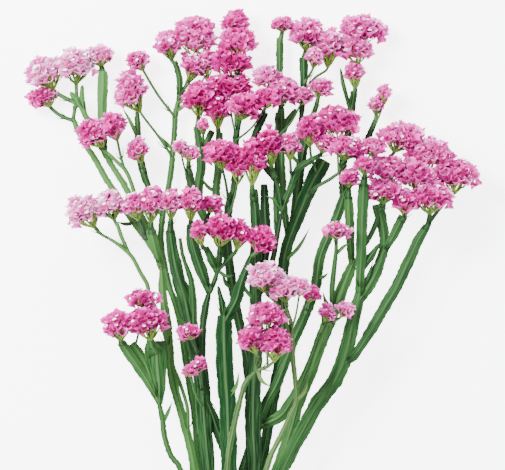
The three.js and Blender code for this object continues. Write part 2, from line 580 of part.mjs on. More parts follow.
// The twig that carries a head. Its end flares into the comb of bracts that the head sits in.
function headTwig (samples, head) {
  const side = head.up.clone().cross(new THREE.Vector3(0, 0, 1)).normalize()
  const normal = side.clone().cross(head.up).normalize()
  const across = COMB_SPREAD * reach(head, side)
  const over = COMB_SPREAD * reach(head, normal)
  return solidOf(sweep(samples, (share) => {
    const atRim = share === 1
    return Array.from({ length: COMB_SIDES }, (_, i) => {
      const angle = (i + 0.25) * 2 * Math.PI / COMB_SIDES
      const wide = atRim ? across : TWIG_WIDTH / 2
      const high = atRim ? over : TWIG_WIDTH / 2
      return [Math.cos(angle) * wide, Math.sin(angle) * high]
    })
  }))
}

// Even directions over a sphere round the head's axis; the lowest ones make its flat base.
function floretDirections (head) {
  const { x, y, z } = head.half
  const area = 4 * Math.PI * (x * y + x * z + y * z) / 3
  const count = THREE.MathUtils.clamp(Math.round(area / FLORET_AREA) + 2, FLORETS_MIN, FLORETS_MAX)
  const side = head.up.clone().cross(new THREE.Vector3(0, 0, 1)).normalize()
  const normal = side.clone().cross(head.up).normalize()
  const turn = head.draw() * Math.PI * 2
  const directions = []
  for (let i = 0; i < count; i++) {
    const rise = 1 - 2 * (i + 0.5) / count + (head.draw() - 0.5) * RISE_JITTER / count
    const round = Math.sqrt(Math.max(0, 1 - rise * rise))
    const angle = turn + i * GOLDEN_ANGLE + (head.draw() - 0.5) * TURN_JITTER
    directions.push(side.clone().multiplyScalar(round * Math.cos(angle))
      .addScaledVector(normal, round * Math.sin(angle))
      .addScaledVector(head.up, rise).normalize())
  }
  return directions
}

// A dome of florets. Each floret is a dished cup with a raised, pointed rim, and the cups
// meet in deep creases. The base over the comb is flat.
function flowerHead (head) {
  const directions = floretDirections(head)
  const hull = new ConvexHull().setFromPoints(directions)
  const baseLevel = -COMB_SEAT * reach(head, head.up) + COMB_GAP
  const positions = []
  const faces = []
  const keep = (direction, share) => {
    const offset = direction.clone().multiplyScalar(reach(head, direction) * share)
    const rise = offset.dot(head.up)
    if (head.comb && rise < baseLevel) {
      offset.multiplyScalar(baseLevel / rise)
    }
    positions.push(...head.middle.clone().add(offset).toArray())
    return positions.length / 3 - 1
  }
  const indexOf = new Map(directions.map((direction, i) => [direction, i]))
  const rings = directions.map(() => [])
  const valleys = []
  hull.faces.forEach((face) => {
    const corners = []
    let edge = face.edge
    do {
      corners.push(edge.head().point)
      edge = edge.next
    } while (edge !== face.edge)
    const middle = corners.reduce((sum, corner) => sum.add(corner), new THREE.Vector3()).normalize()
    const depth = VALLEY * (1 + VALLEY_JITTER * (head.draw() - 0.5))
    valleys.push({ middle, index: keep(middle, depth) })
    corners.forEach((corner, k) => {
      const next = indexOf.get(corners[(k + 1) % corners.length])
      rings[indexOf.get(corner)].push({ next, face: valleys.length - 1, corner, last: corners.at(k - 1) })
    })
  })
  rings.forEach((ring, i) => {
    const ordered = [ring[0]]
    while (ordered.length < ring.length) {
      const leaving = indexOf.get(ordered.at(-1).last)
      ordered.push(ring.find((step) => step.next === leaving))
    }
    const direction = directions[i]
    const isBase = head.comb && direction.dot(head.up) < BASE_FACING
    const centre = keep(direction, isBase ? 1 : DISH)
    const rim = ordered.map((step) => {
      const towards = valleys[step.face].middle
      const lean = direction.clone().lerp(towards, RIM_LEAN).normalize()
      return isBase ? valleys[step.face].index : keep(lean, RIM_LOW + RIM_JITTER * head.draw())
    })
    ordered.forEach((step, k) => {
      const after = (k + 1) % ordered.length
      faces.push(centre, rim[k], rim[after])
      if (!isBase) {
        const here = valleys[step.face].index
        const there = valleys[ordered[after].face].index
        faces.push(rim[k], here, there, rim[k], there, rim[after])
      }
    })
  })
  return solidOf(meshGeometry(positions, faces))
}

// The point of a spray's sampled runs that lies nearest to a place on the grid.
function nearestOnRuns (runs, column, row) {
  const target = place(column, row, 0)
  let best = null
  let bestGap = Infinity
  for (const samples of runs) {
    for (const point of samples) {
      const gap = Math.hypot(point.x - target.x, point.y - target.y)
      if (gap < bestGap) {
        bestGap = gap
        best = point
      }
    }
  }
  return best
}

// Points close together along the straight facets of a run, for others to root on.
function pointsBetween (samples) {
  return samples.slice(1).flatMap((end, i) => {
    return Array.from({ length: ROOTS_PER_FACET + 1 }, (_, k) => {
      return samples[i].clone().lerp(end, k / ROOTS_PER_FACET)
    })
  })
}

// Joins solids into one body. Crumbs and sealed hollows are dropped.
function joinAll (name, solids) {
  const joined = solids.reduce((sum, solid) => sum.add(solid))
  const bodies = joined.decompose().sort((a, b) => b.volume() - a.volume())
  if (bodies.slice(1).some((body) => body.volume() > SCRAP_VOLUME)) {
    throw new Error(`${name} falls apart: ${bodies.map((body) => Math.round(body.volume()))}`)
  }
  return bodies[0]
}

// Grows one spray: its runs, leaflets, twigs and combs in green, its heads in pink.
function growSpray (name, spray, pinkSolids) {
  const draw = seededDraw(name)
  const solids = []
  const runs = new Map()
  for (const [runName, parent, widths, route] of spray.runs) {
    const rooted = parent ? nearestOnRuns([runs.get(parent)], route[0][0], route[0][1]) : null
    const points = routePoints(route, rooted?.z, rooted?.z)
    if (rooted) {
      points[0].copy(rooted)
    }
    const samples = sampleRoute(points, parent ? TWIG_STEP : TRUNK_STEP)
    runs.set(runName, pointsBetween(samples))
    solids.push(stemRun(samples, widths, draw))
  }
  const allRuns = [...runs.values()]
  for (const route of spray.leaves) {
    const rooted = nearestOnRuns(allRuns, route[0][0], route[0][1])
    const points = routePoints(route, rooted.z, rooted.z + LEAF_RISE)
    points[0].copy(rooted)
    solids.push(leaflet(sampleRoute(points, LEAF_STEP), LEAF_WIDTH))
  }
  for (const entry of spray.heads) {
    const head = headOf(entry, draw)
    const twig = entry[4]
    if (twig) {
      const rooted = nearestOnRuns(allRuns, twig[0][0], twig[0][1])
      const points = routePoints(twig, rooted.z, head.middle.z - TWIG_DROP)
      points[0].copy(rooted)
      head.up = head.middle.clone().sub(points.at(-1)).normalize()
      head.comb = true
      const size = reach(head, head.up)
      points[points.length - 1].copy(head.middle).addScaledVector(head.up, -COMB_ROOT * size)
      const samples = sampleRoute(points, TWIG_STEP)
      samples.push(head.middle.clone().addScaledVector(head.up, -COMB_SEAT * size))
      solids.push(headTwig(samples, head))
    }
    const pink = flowerHead(head)
    pinkSolids.set(head.node, [...(pinkSolids.get(head.node) ?? []), pink])
  }
  return joinAll(name, solids)
}

function trimBelowFloor (solid) {
  const block = new THREE.BoxGeometry(FLOOR_BLOCK, FLOOR_BLOCK, FLOOR_DEPTH)
  block.translate(0, 0, -FLOOR_DEPTH / 2)
  block.deleteAttribute('normal')
  block.deleteAttribute('uv')
  return solid.subtract(solidOf(mergeVertices(block)))
}

function namedMesh (name, solid, colour, roughness) {
  const material = new THREE.MeshStandardMaterial({ color: colour, roughness, metalness: 0 })
  material.flatShading = true
  const mesh = new THREE.Mesh(geometryOf(solid), material)
  mesh.name = name
  return mesh
}

function pinkColour (node) {
  return PINK[node] ?? (PINK_PALE.includes(node) ? PINK_LIGHT : PINK_PLAIN)
}

const bunch = new THREE.Group()
bunch.name = 'statice_bunch'
const pinkSolids = new Map()
for (const [name, spray] of Object.entries(SPRAYS)) {
  const green = trimBelowFloor(growSpray(name, spray, pinkSolids))
  bunch.add(namedMesh(`stem_${name}`, green, spray.colour, STEM_ROUGHNESS))
}
for (const [node, solids] of pinkSolids) {
  const pink = trimBelowFloor(joinAll(node, solids))
  bunch.add(namedMesh(node, pink, pinkColour(node), BLOOM_ROUGHNESS))
}

export default bunch
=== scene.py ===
"""Looks of a cut bunch of pink statice that lies on its side.

Thirteen winged stems fan out from one gather. Each carries leaflets, twigs, green combs of
bracts and domes of pleated papery florets. The plan of the bunch is given on a drawing grid,
with heights and widths in millimetres, and everything that is built from it is in metres.
"""

import logging
import math
import random
from dataclasses import dataclass, field
from enum import Enum
from typing import Sequence

import bpy
import numpy as np
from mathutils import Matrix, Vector, noise


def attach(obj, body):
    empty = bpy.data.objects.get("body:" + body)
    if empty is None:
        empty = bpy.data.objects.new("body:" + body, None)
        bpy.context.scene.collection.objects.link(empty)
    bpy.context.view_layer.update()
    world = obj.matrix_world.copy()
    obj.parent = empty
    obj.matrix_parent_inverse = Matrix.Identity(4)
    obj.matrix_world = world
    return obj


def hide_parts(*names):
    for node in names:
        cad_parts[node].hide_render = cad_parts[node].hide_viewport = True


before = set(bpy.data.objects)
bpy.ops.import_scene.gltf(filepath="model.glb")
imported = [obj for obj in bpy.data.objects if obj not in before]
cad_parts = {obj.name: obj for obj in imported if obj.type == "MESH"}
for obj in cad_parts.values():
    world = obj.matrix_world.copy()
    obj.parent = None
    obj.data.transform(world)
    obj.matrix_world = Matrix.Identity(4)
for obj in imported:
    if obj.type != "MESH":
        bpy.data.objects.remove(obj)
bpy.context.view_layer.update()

logging.basicConfig(level=logging.INFO, format="%(message)s")
LOG = logging.getLogger("statice")

Line = np.ndarray
Route = Sequence[Sequence[float]]
Faces = list[tuple[int, ...]]
Colour = tuple[float, float, float]
Span = tuple[float, float]
Socket = bpy.types.NodeSocket

MM = 0.001
GRID = 0.8 * MM  # one step of the drawing grid; columns run right, rows run down the bunch
ORIGIN_COLUMN = 252.82
ORIGIN_ROW = 325.06
BODY = "root"
GOLDEN_ANGLE = math.pi * (3 - math.sqrt(5))
FULL_TURN = 2 * math.pi

# Each spray holds its runs as (name, parent run, widths from root to tip, route of [column,
# row, height]), its leaflets as routes, and its heads as (bloom, [column, row], [width,
# height] on the grid, height of the middle, route of the twig that carries it).
SPRAYS = {
  "tall_left": {
    "runs": [
      ["trunk", None, [6.2, 6.2, 6, 4.8, 4.4, 4], [[211.5, 640, 1.4], [211.5, 590, 1.4],
        [203, 520, 3], [199, 470, 4], [195, 420], [190, 390], [186, 365], [183, 345], [180, 325, 7],
        [175, 305], [168, 285], [163, 262], [160, 240], [162, 215], [165, 200], [168, 185],
        [171, 165], [172, 150], [174, 130], [175, 112], [178, 100], [183, 88, 9]]],
      ["wing", "trunk", [4, 4.8, 4.4], [[178, 100], [179, 78], [174, 60, 13]]],
      ["low", "trunk", [4, 5, 6, 4.8, 5.2], [[163, 215], [154, 200], [147, 185], [142, 170, 11],
        [138, 146, 7], [136, 107, 9]]],
    ],
    "leaves": [
      [[172, 150], [163, 140], [158, 134]],
      [[175, 112], [184, 104], [190, 97]],
      [[138, 140], [130, 122], [121, 106]],
    ],
    "heads": [
      ["top_left", [168, 42], [25, 29], 13, [[174, 62], [171, 58]]],
      ["top_left", [194, 63], [23, 30], 13, [[183, 88], [188, 82]]],
      ["top_left", [194, 36], [43, 41], 13],
      ["top_left", [206, 62], [15, 33], 13],
      ["bud_high", [137, 59], [20, 19], 12, [[174, 116], [158, 95], [145, 74]]],
      ["left_spike", [129.5, 90.5], [28, 42], 13, [[172, 157], [158, 136], [142, 116]]],
      ["bud_low", [137, 149], [18, 25], 23, [[143, 173], [142, 167]]],
    ],
  },
  "left_trunk": {
    "runs": [
      ["trunk", None, [6.2, 6.2, 6.6, 6.4, 6.4, 6], [[207.2, 636, 4.3], [207.2, 590, 4.3],
        [199, 520, 9], [194, 470, 13], [188, 440], [182, 418], [177, 400], [172, 380], [169, 350],
        [167, 325], [163, 300], [161, 267, 26]]],
      ["strand", "trunk", [3.2, 3, 2.6], [[189, 436], [187, 410], [180, 385], [173, 365, 19]]],
      ["limb", "trunk", [4.8, 5.4, 4.8, 4.4, 4], [[161, 270], [157, 256], [142, 233], [133, 222],
        [125, 210], [113, 190], [105, 178], [95, 160], [85, 145], [78, 132], [72, 118, 15]]],
      ["second", "trunk", [4.6, 5.6, 4.6, 3.6, 4.8], [[161, 267], [156, 248], [148, 230],
        [136, 208], [122, 182], [113, 168], [104, 153], [95, 138], [88, 122], [81, 108],
        [75, 96, 14]]],
      ["shoulder", "second", [3.8, 3.4, 3], [[138, 212], [133, 190], [125, 170], [117, 162],
        [108, 153, 30]]],
      ["broad_wing", "second", [3.4, 6, 8, 8.4], [[104, 153], [102, 128], [101, 104], [102, 84],
        [102, 70, 13]]],
      ["wedge", "second", [3, 5, 7], [[81, 108], [74, 98], [69, 91, 10]]],
      ["post", "second", [3.4, 4.8], [[85, 114], [81, 100], [81, 84, 13]]],
      ["side", "trunk", [4, 3.8, 3.4, 3], [[168, 350], [158, 315], [149, 296], [147, 285],
        [140, 272], [132, 257], [125, 250], [116, 243], [108, 238, 42]]],
      ["arm", "side", [3, 3.6], [[130, 254], [122, 238], [117, 223, 43]]],
      ["middle", "trunk", [4.4, 7.4, 9], [[161, 268], [155, 248], [151, 230, 44]]],
    ],
    "leaves": [
      [[133, 222], [125, 224], [117, 222]],
      [[169, 352], [176, 380], [180, 402]],
    ],
    "heads": [
      ["left_crest", [44, 71], [41, 30], 11, [[76, 104], [62, 96], [53, 91]]],
      ["left_crest", [74, 63], [38, 33], 12, [[74, 112], [75, 98], [75, 88]]],
      ["left_crest", [97, 53.5], [37, 19], 11, [[103, 76], [101, 68]]],
      ["left_low", [41, 96], [37, 17], 9, [[73, 121], [58, 114], [50, 108]]],
      ["left_shoulder", [93, 133], [32, 27], 31, [[112, 157], [104, 151]]],
      ["left_shoulder", [112, 125], [26, 26], 31, [[124, 168], [120, 155], [118, 144]]],
      ["side_left", [84, 211], [36, 31], 42, [[108, 238], [101, 234], [97, 231]]],
      ["side_left", [110, 204], [28, 27], 44, [[119, 227], [115, 222]]],
      ["left_middle", [134, 205.5], [22, 26], 52, [[148, 238], [141, 225]]],
      ["left_middle", [152, 202.5], [24, 34], 55, [[151, 234], [151, 226]]],
    ],
  },
  "far_left": {
    "runs": [
      ["trunk", None, [6.2, 6.2, 4.6, 4, 4.4], [[198.6, 632, 4.3], [198.6, 590, 4.3],
        [187, 520, 15], [180, 470, 24], [170, 455], [164, 435], [162, 418], [158, 400, 36]]],
      ["left", "trunk", [4, 6, 8, 8], [[158, 402], [149, 384], [134, 361], [121, 342, 44]]],
      ["web", "trunk", [3, 6, 6.4], [[154, 374], [142, 357], [132, 343, 41]]],
      ["right", "trunk", [4.4, 9, 14, 18, 19], [[159, 404], [159, 386], [157, 366],
        [156, 341, 41]]],
    ],
    "leaves": [
      [[163, 425], [168, 412], [172, 402]],
    ],
    "heads": [
      ["front_left", [119, 324], [29, 28], 52, [[122, 343], [121, 339]]],
      ["front_left", [147, 321], [40, 32], 54, [[157, 354], [152, 346], [151, 342]]],
      ["front_left", [143, 298], [34, 18], 53],
    ],
  },
  "dark_blade": {
    "runs": [
      ["trunk", None, [6.2, 6.2, 7, 7.4, 7, 6.4], [[220.1, 641, 1.4], [220.1, 596, 1.4],
        [222, 578, 1.6], [238, 520, 4], [249, 470, 8], [250, 430], [250, 400], [247, 360],
        [243, 340], [238, 318], [233, 290], [229, 262, 20], [227, 240], [228, 215],
        [230, 192, 34]]],
      ["left", "trunk", [4.4, 6, 7, 7, 5], [[229, 262], [214, 234], [200, 208], [198, 188],
        [201, 165], [199, 145], [196, 126, 22]]],
      ["crown", "trunk", [4.4, 6, 6, 6.4, 6], [[228, 236], [218, 214], [216, 192], [218, 170],
        [219, 145], [219, 132, 20]]],
      ["olive", "left", [3, 4.4, 5.4], [[201, 165], [206, 144], [212, 130, 20]]],
      ["band", "left", [3.4, 6, 7], [[199, 202], [191, 184], [188, 170, 43]]],
      ["right", "trunk", [4.4, 5.4, 4.8, 5.4], [[228, 214], [234, 186], [236, 160], [236, 138],
        [237, 128, 31]]],
    ],
    "leaves": [
      [[216, 192], [207, 186], [202, 178]],
      [[233, 290], [226, 284], [222, 272]],
    ],
    "heads": [
      ["band_left", [181, 147], [15, 15], 52],
      ["band_left", [190, 153], [16, 14], 52, [[188, 174], [188, 167]]],
      ["band_middle", [221, 153], [33, 26], 52, [[229, 206], [226, 184], [223, 172]]],
      ["band_middle", [238, 165], [20, 37], 50.6],
      ["crown", [217, 108], [21, 35], 23, [[219, 138], [218, 131]]],
      ["crown", [198, 97], [31, 31], 23, [[197, 128], [198, 119]]],
      ["crown", [229, 87], [48, 31], 18],
      ["crown", [231, 61], [38, 31], 16],
      ["crown", [238, 40], [34, 31], 15],
      ["crown", [235, 21], [24, 25], 13],
      ["left_drop", [203, 125], [8, 17], 31, [[200, 152], [203, 144], [203, 138]]],
      ["crown_low", [245, 105], [36, 25], 38, [[237, 138], [238, 128], [239, 123]]],
      ["crown_low", [266, 98], [27, 20], 37],
    ],
  },
  "back_right": {
    "runs": [
      ["trunk", None, [6.2, 6.2, 8, 9, 9, 9, 14], [[228.7, 634, 1.4], [228.8, 600, 1.4],
        [231.5, 578, 1.6], [247, 520, 4], [262, 460, 8], [270, 420], [277, 380], [282, 350, 11],
        [283, 320], [282, 290], [285, 255], [291, 235, 13], [299, 215], [307, 195], [316, 176],
        [325, 160, 26]]],
      ["knot", "trunk", [5.6, 7, 6.4, 6], [[292, 231], [297, 195], [301, 165], [306, 140],
        [312, 116, 18]]],
      ["high", "knot", [4, 4, 3.4, 5.2, 8], [[300, 170], [300, 140], [302, 112], [304, 84],
        [304, 56, 9]]],
      ["small", "trunk", [4, 5.4, 5, 5, 4.4, 4.8, 6], [[289, 240], [284, 205], [282, 160],
        [282, 120], [280, 80], [280, 36, 8]]],
      ["prong", "small", [3.6, 5, 5.4], [[283, 136], [288, 120], [296, 108, 15]]],
      ["thin", "trunk", [3, 2.8], [[304, 197], [315, 188], [330, 179], [340, 172, 48]]],
    ],
    "leaves": [
      [[287, 262], [299, 247], [310, 228]],
      [[301, 165], [293, 156], [289, 148]],
    ],
    "heads": [
      ["centre_right", [310, 129], [25, 28], 42, [[314, 172], [312, 160], [310, 151]]],
      ["centre_right", [337, 122], [46, 33], 43],
      ["right_knot", [321.5, 86], [22, 17], 30, [[312, 118], [316, 107], [318, 98]]],
      ["top_right", [308, 31.5], [34, 30], 12, [[304, 62], [305, 56], [306, 52]]],
      ["top_right", [330, 44], [24, 38], 13, [[304, 90], [316, 76], [328, 66]]],
      ["top_right_low", [315, 56], [15, 19], 25, [[304, 84], [309, 75], [313, 69]]],
      ["top_small", [283, 22], [23, 14], 11, [[281, 40], [282, 34]]],
      ["centre_right_low", [347, 147.5], [37, 22], 58, [[338, 174], [342, 166]]],
      ["centre_right_low", [372, 147], [27, 18], 57],
    ],
  },
  "right_inner": {
    "runs": [
      ["trunk", None, [6.2, 6.2, 7, 8, 8, 7], [[224.4, 630, 4.3], [224.4, 590, 4.3], [234, 520, 10],
        [243, 470, 15], [257, 430], [267, 403], [277, 384], [286, 360], [295, 338], [303, 320],
        [311, 300], [316, 285], [318, 272, 23], [321, 255], [327, 240], [335, 222], [341, 205],
        [345, 190, 24]]],
      ["crest", "trunk", [5, 6, 6, 6], [[341, 196], [343, 165], [348, 135], [352, 108],
        [355, 90, 13]]],
      ["second", "crest", [3, 3.4, 4], [[351, 112], [348, 99], [344, 84], [341, 67, 11]]],
      ["spike", "trunk", [4, 4.6, 4.4], [[342, 192], [352, 176], [363, 150], [371, 132],
        [376, 120, 15]]],
      ["thin", "trunk", [6, 9, 7.6, 4.4, 3, 2.8], [[262, 430], [280, 417], [292, 400], [302, 380],
        [310, 360], [317, 340], [320, 330, 42]]],
    ],
    "leaves": [
      [[316, 278], [324, 277], [328, 273]],
    ],
    "heads": [
      ["right_crest", [355, 71], [17, 29], 12, [[355, 96], [356, 90]]],
      ["right_crest", [357, 46], [32, 34], 12],
      ["right_crest", [363, 28], [45, 30], 10.8],
      ["right_spike", [385, 92], [11, 22], 14],
      ["right_spike", [377, 103], [14, 20], 14, [[376, 122], [377, 116]]],
      ["bud_inner", [312, 293], [16, 15], 37, [[304, 316], [307, 306]]],
      ["bud_middle", [327, 312], [14, 20], 48, [[317, 331], [322, 326]]],
    ],
  },
  "right_outer": {
    "runs": [
      ["trunk", None, [6.2, 6.2, 7.6, 9.4, 10.4, 10, 8.4], [[238.3, 638, 1.4], [238.3, 590, 1.4],
        [258, 520, 9], [278, 470, 18], [291, 430], [300, 397], [311, 370], [322, 340], [334, 310],
        [340, 295], [348, 275], [355, 258, 37]]],
      ["upper", "trunk", [4.4, 7, 7.4], [[352, 266], [350, 240], [349, 215], [348, 197, 52]]],
      ["single", "trunk", [4, 4.4, 4], [[333, 312], [332, 290], [334, 268], [336, 250, 50]]],
    ],
    "leaves": [
      [[352, 268], [363, 261], [372, 256]],
      [[334, 310], [326, 302], [323, 292]],
      [[336, 254], [344, 246], [350, 243]],
    ],
    "heads": [
      ["right_small_low", [349, 178], [18, 17], 58, [[348, 199], [348, 193]]],
      ["right_single", [336, 230], [29, 15], 56, [[336, 252], [336, 243]]],
      ["bud_outer", [346, 309], [16, 15], 50, [[330, 326], [339, 319]]],
    ],
  },
  "broad_middle": {
    "runs": [
      ["trunk", None, [6.2, 6.2, 11, 13, 11, 9.4, 7], [[233, 640, 4.3], [233, 590, 4.3],
        [245, 520, 16], [254, 470, 24], [253, 430], [253, 400], [254, 370], [256, 340],
        [256, 300, 33], [255, 270], [256, 240], [256, 222], [253, 189, 37]]],
      ["blade", "trunk", [5, 7, 7.4, 6], [[258, 290], [263, 268], [266, 240], [265, 212],
        [264, 184, 37]]],
      ["fork", "trunk", [4.4, 4.4, 4], [[256, 300], [266, 280], [273, 258], [277, 235],
        [282, 209, 42]]],
      ["fork_left", "fork", [3.2, 3.2], [[282, 212], [279, 192], [274, 176, 45]]],
      ["fork_right", "fork", [4, 5.4, 5.4], [[282, 212], [291, 186], [297, 170], [311, 160, 50]]],
      ["high", "fork", [4.4, 4.6, 3.6, 3.2], [[276, 232], [276, 200], [277, 165], [277, 130],
        [277, 112, 20]]],
      ["reach", "high", [3.6, 5.4, 6, 5], [[276, 180], [262, 162], [254, 142], [258, 128],
        [266, 112, 23]]],
    ],
    "leaves": [
      [[282, 209], [275, 200], [266, 196]],
      [[256, 300], [247, 292], [240, 278]],
    ],
    "heads": [
      ["band_middle", [252.5, 160], [24, 43], 53, [[254, 202], [253, 194], [252, 188]]],
      ["band_middle", [269, 145], [24, 37], 53, [[274, 178], [272, 172]]],
      ["band_right", [290, 145], [18, 26], 52, [[292, 184], [291, 172], [290, 164]]],
      ["centre_right", [326, 142], [26, 19], 45, [[311, 162], [320, 157]]],
      ["top_middle", [284, 89], [28, 26], 25, [[277, 116], [280, 108]]],
      ["top_middle", [268, 76], [28, 22], 21],
      ["top_middle", [302, 95], [24, 17], 25],
    ],
  },
  "right_broad": {
    "runs": [
      ["trunk", None, [6.2, 6.2, 9, 11.4, 12, 9], [[241.6, 642, 4.3], [241.6, 590, 4.3],
        [262, 520, 18], [283, 470, 28], [294, 447], [306, 425], [319, 402], [334, 382], [342, 365],
        [348, 345], [353, 320], [358, 300], [361, 286, 38]]],
      ["outer", "trunk", [6, 8.4, 9, 7], [[343, 366], [354, 356], [365, 340], [376, 322],
        [386, 305], [396, 288], [408, 262], [418, 240], [427, 226, 42]]],
      ["upper", "trunk", [6.4, 8, 8.4, 9], [[361, 294], [361, 250], [362, 215], [363, 184, 58]]],
      ["inner", "trunk", [7, 9.4, 8.4, 7, 8.4, 11], [[360, 304], [369, 286], [377, 270], [383, 252],
        [384, 236], [378, 204, 38]]],
      ["sail", "upper", [4, 6, 4], [[361, 272], [370, 257], [380, 243, 42]]],
      ["fan", "inner", [4, 6.4, 9], [[382, 256], [391, 240], [398, 226], [403, 216, 42]]],
      ["far", "outer", [3.4, 3, 2.8], [[424, 236], [434, 216], [444, 204], [452, 196, 30]]],
      ["crest", "upper", [4, 4.4, 3.4, 3.2], [[361, 250], [371, 234], [379, 214], [386, 180],
        [391, 154, 27]]],
    ],
    "leaves": [
      [[361, 290], [368, 276], [373, 262]],
      [[336, 372], [332, 388], [324, 402]],
    ],
    "heads": [
      ["right_small_high", [364, 165], [18, 17], 66, [[363, 186], [364, 180]]],
      ["far_right_top", [402, 136], [47, 27], 26, [[391, 156], [395, 151]]],
      ["far_right_top", [429, 154], [50, 32], 27],
      ["far_right_top", [455, 174], [48, 31], 27, [[452, 198], [454, 193]]],
      ["far_right_mid", [384, 190], [37, 23], 51, [[380, 212], [383, 204]]],
      ["far_right_mid", [405, 201], [23, 25], 51, [[402, 220], [404, 217]]],
      ["far_right_mid", [430, 196], [42, 30], 51, [[426, 231], [428, 224], [429, 218]]],
      ["far_right_mid", [389, 169], [41, 25], 50],
      ["far_right_mid", [414, 175], [34, 26], 51],
    ],
  },
  "broad_left": {
    "runs": [
      ["trunk", None, [6.2, 6.2, 9.4, 10.8, 12, 13, 11, 8], [[215.8, 637, 4.3], [215.8, 590, 4.3],
        [211, 520, 18], [208, 470, 27], [204, 420], [201, 380], [196, 350, 36], [190, 325],
        [185, 300], [179, 280], [175, 262], [172, 246], [170, 230, 49]]],
      ["cross", "trunk", [5, 8, 8, 7], [[203, 392], [210, 410], [217, 430], [226, 452],
        [232, 472, 22]]],
      ["fork", "trunk", [5, 5.4, 5.6], [[202, 376], [202, 350], [203, 325], [206, 305],
        [210, 290, 48]]],
      ["fork_left", "fork", [5, 9, 9.4, 6], [[209, 292], [203, 275], [197, 258], [192, 240],
        [190, 224, 54]]],
      ["fork_right", "fork", [4, 4], [[210, 292], [214, 282], [218, 270, 53]]],
      ["low_limb", "fork_right", [3.6, 6.4, 5], [[217, 272], [212, 260], [206, 247, 62]]],
      ["low_stem", "fork_right", [3.6, 5.4, 5], [[218, 272], [219, 260], [220, 249, 60]]],
      ["dark", "trunk", [5.4, 6, 5, 2.8, 2.6], [[194, 338], [193, 305], [191, 280], [183, 256],
        [180, 238, 50]]],
    ],
    "leaves": [
      [[218, 270], [226, 276], [234, 275]],
      [[190, 325], [182, 322], [177, 314]],
    ],
    "heads": [
      ["left_pointed", [172, 202], [18, 30], 60, [[171, 232], [171, 223]]],
      ["left_pair", [191, 202], [19, 33], 64, [[190, 228], [191, 220]]],
      ["low_ruffle", [212, 204], [23, 15], 56, [[194, 242], [203, 226], [209, 214]]],
      ["low_left", [199, 232], [14, 25], 70, [[208, 250], [203, 248]]],
      ["low_middle", [223, 229], [32, 29], 66, [[219, 254], [220, 247]]],
      ["low_middle", [240, 233.5], [20, 28], 65, [[218, 270], [230, 258], [236, 252]]],
      ["stalk_upper", [189, 331], [26, 14], 56, [[200, 360], [196, 348], [192, 341]]],
      ["stalk_lower", [190, 370], [14, 12], 52],
      ["stalk_lower", [199, 364], [15, 13], 52, [[203, 396], [201, 382], [200, 376]]],
    ],
  },
  "broad_fork": {
    "runs": [
      ["trunk", None, [6.2, 6.2, 11, 12.4, 13, 13.4, 13], [[220.1, 633, 7.2], [220.1, 590, 7.2],
        [225, 520, 24], [229, 470, 34], [228, 430], [227, 400], [225, 370], [224, 340],
        [224, 315, 50]]],
      ["right", "trunk", [8.4, 9, 6.6, 4.4], [[228, 322], [236, 300], [241, 283], [248, 265],
        [252, 254, 60]]],
      ["left", "trunk", [5.6, 4.8, 4.4], [[225, 322], [222, 303], [218, 286, 53]]],
    ],
    "leaves": [
      [[228, 400], [236, 386], [239, 372]],
    ],
    "heads": [
      ["low_right", [262, 239], [25, 24], 68, [[252, 257], [256, 252]]],
    ],
  },
  "front_middle": {
    "runs": [
      ["trunk", None, [6.2, 6.2, 4.4, 3.8, 3.4, 3], [[228.7, 637, 7.2], [228.7, 590, 7.2],
        [249, 520, 27], [266, 470, 40], [271, 455], [280, 437], [290, 415], [296, 401], [295, 380],
        [293, 360], [292, 340], [290, 320], [286, 308, 64]]],
      ["left", "trunk", [3, 2.8, 2.6], [[292, 340], [284, 318], [276, 303], [269, 295, 70]]],
    ],
    "leaves": [
      [[296, 401], [304, 392], [308, 382]],
    ],
    "heads": [
      ["front_high", [265, 276], [35, 28], 78, [[271, 300], [267, 294]]],
      ["front_high", [284, 287], [26, 24], 78, [[286, 310], [286, 304]]],
      ["front_high", [299, 286], [20, 18], 78],
    ],
  },
  "front_left": {
    "runs": [
      ["trunk", None, [6.2, 6.2, 4.8, 4.2, 3.6], [[211, 635, 7.2], [211, 590, 7.2], [222, 520, 31],
        [227, 470, 48], [229, 450], [234, 425], [240, 400], [244, 385], [249, 377],
        [257, 369, 74]]],
      ["up", "trunk", [3, 2.8], [[256, 371], [258, 360], [258, 353, 79]]],
      ["side", "trunk", [2.8, 2.6], [[257, 370], [266, 366], [273, 361, 79]]],
    ],
    "leaves": [
      [[257, 370], [262, 380], [270, 385]],
    ],
    "heads": [
      ["front_low", [251, 337], [24, 27], 85, [[258, 355], [256, 352]]],
      ["front_low", [274, 341], [30, 32], 85, [[273, 362], [274, 359]]],
      ["front_low", [266, 315], [34, 27], 86],
    ],
  },
}


class Pink(Enum):
    """The named tones of a flower head."""

    PALE = "calyx_light_pink"
    MIDDLE = "calyx_pink"
    VIVID = "calyx_magenta"


class Green(Enum):
    """The named tones of a stem."""

    FRESH = "fresh_green"
    MIDDLE = "stem_green"
    DEEP = "deep_green"


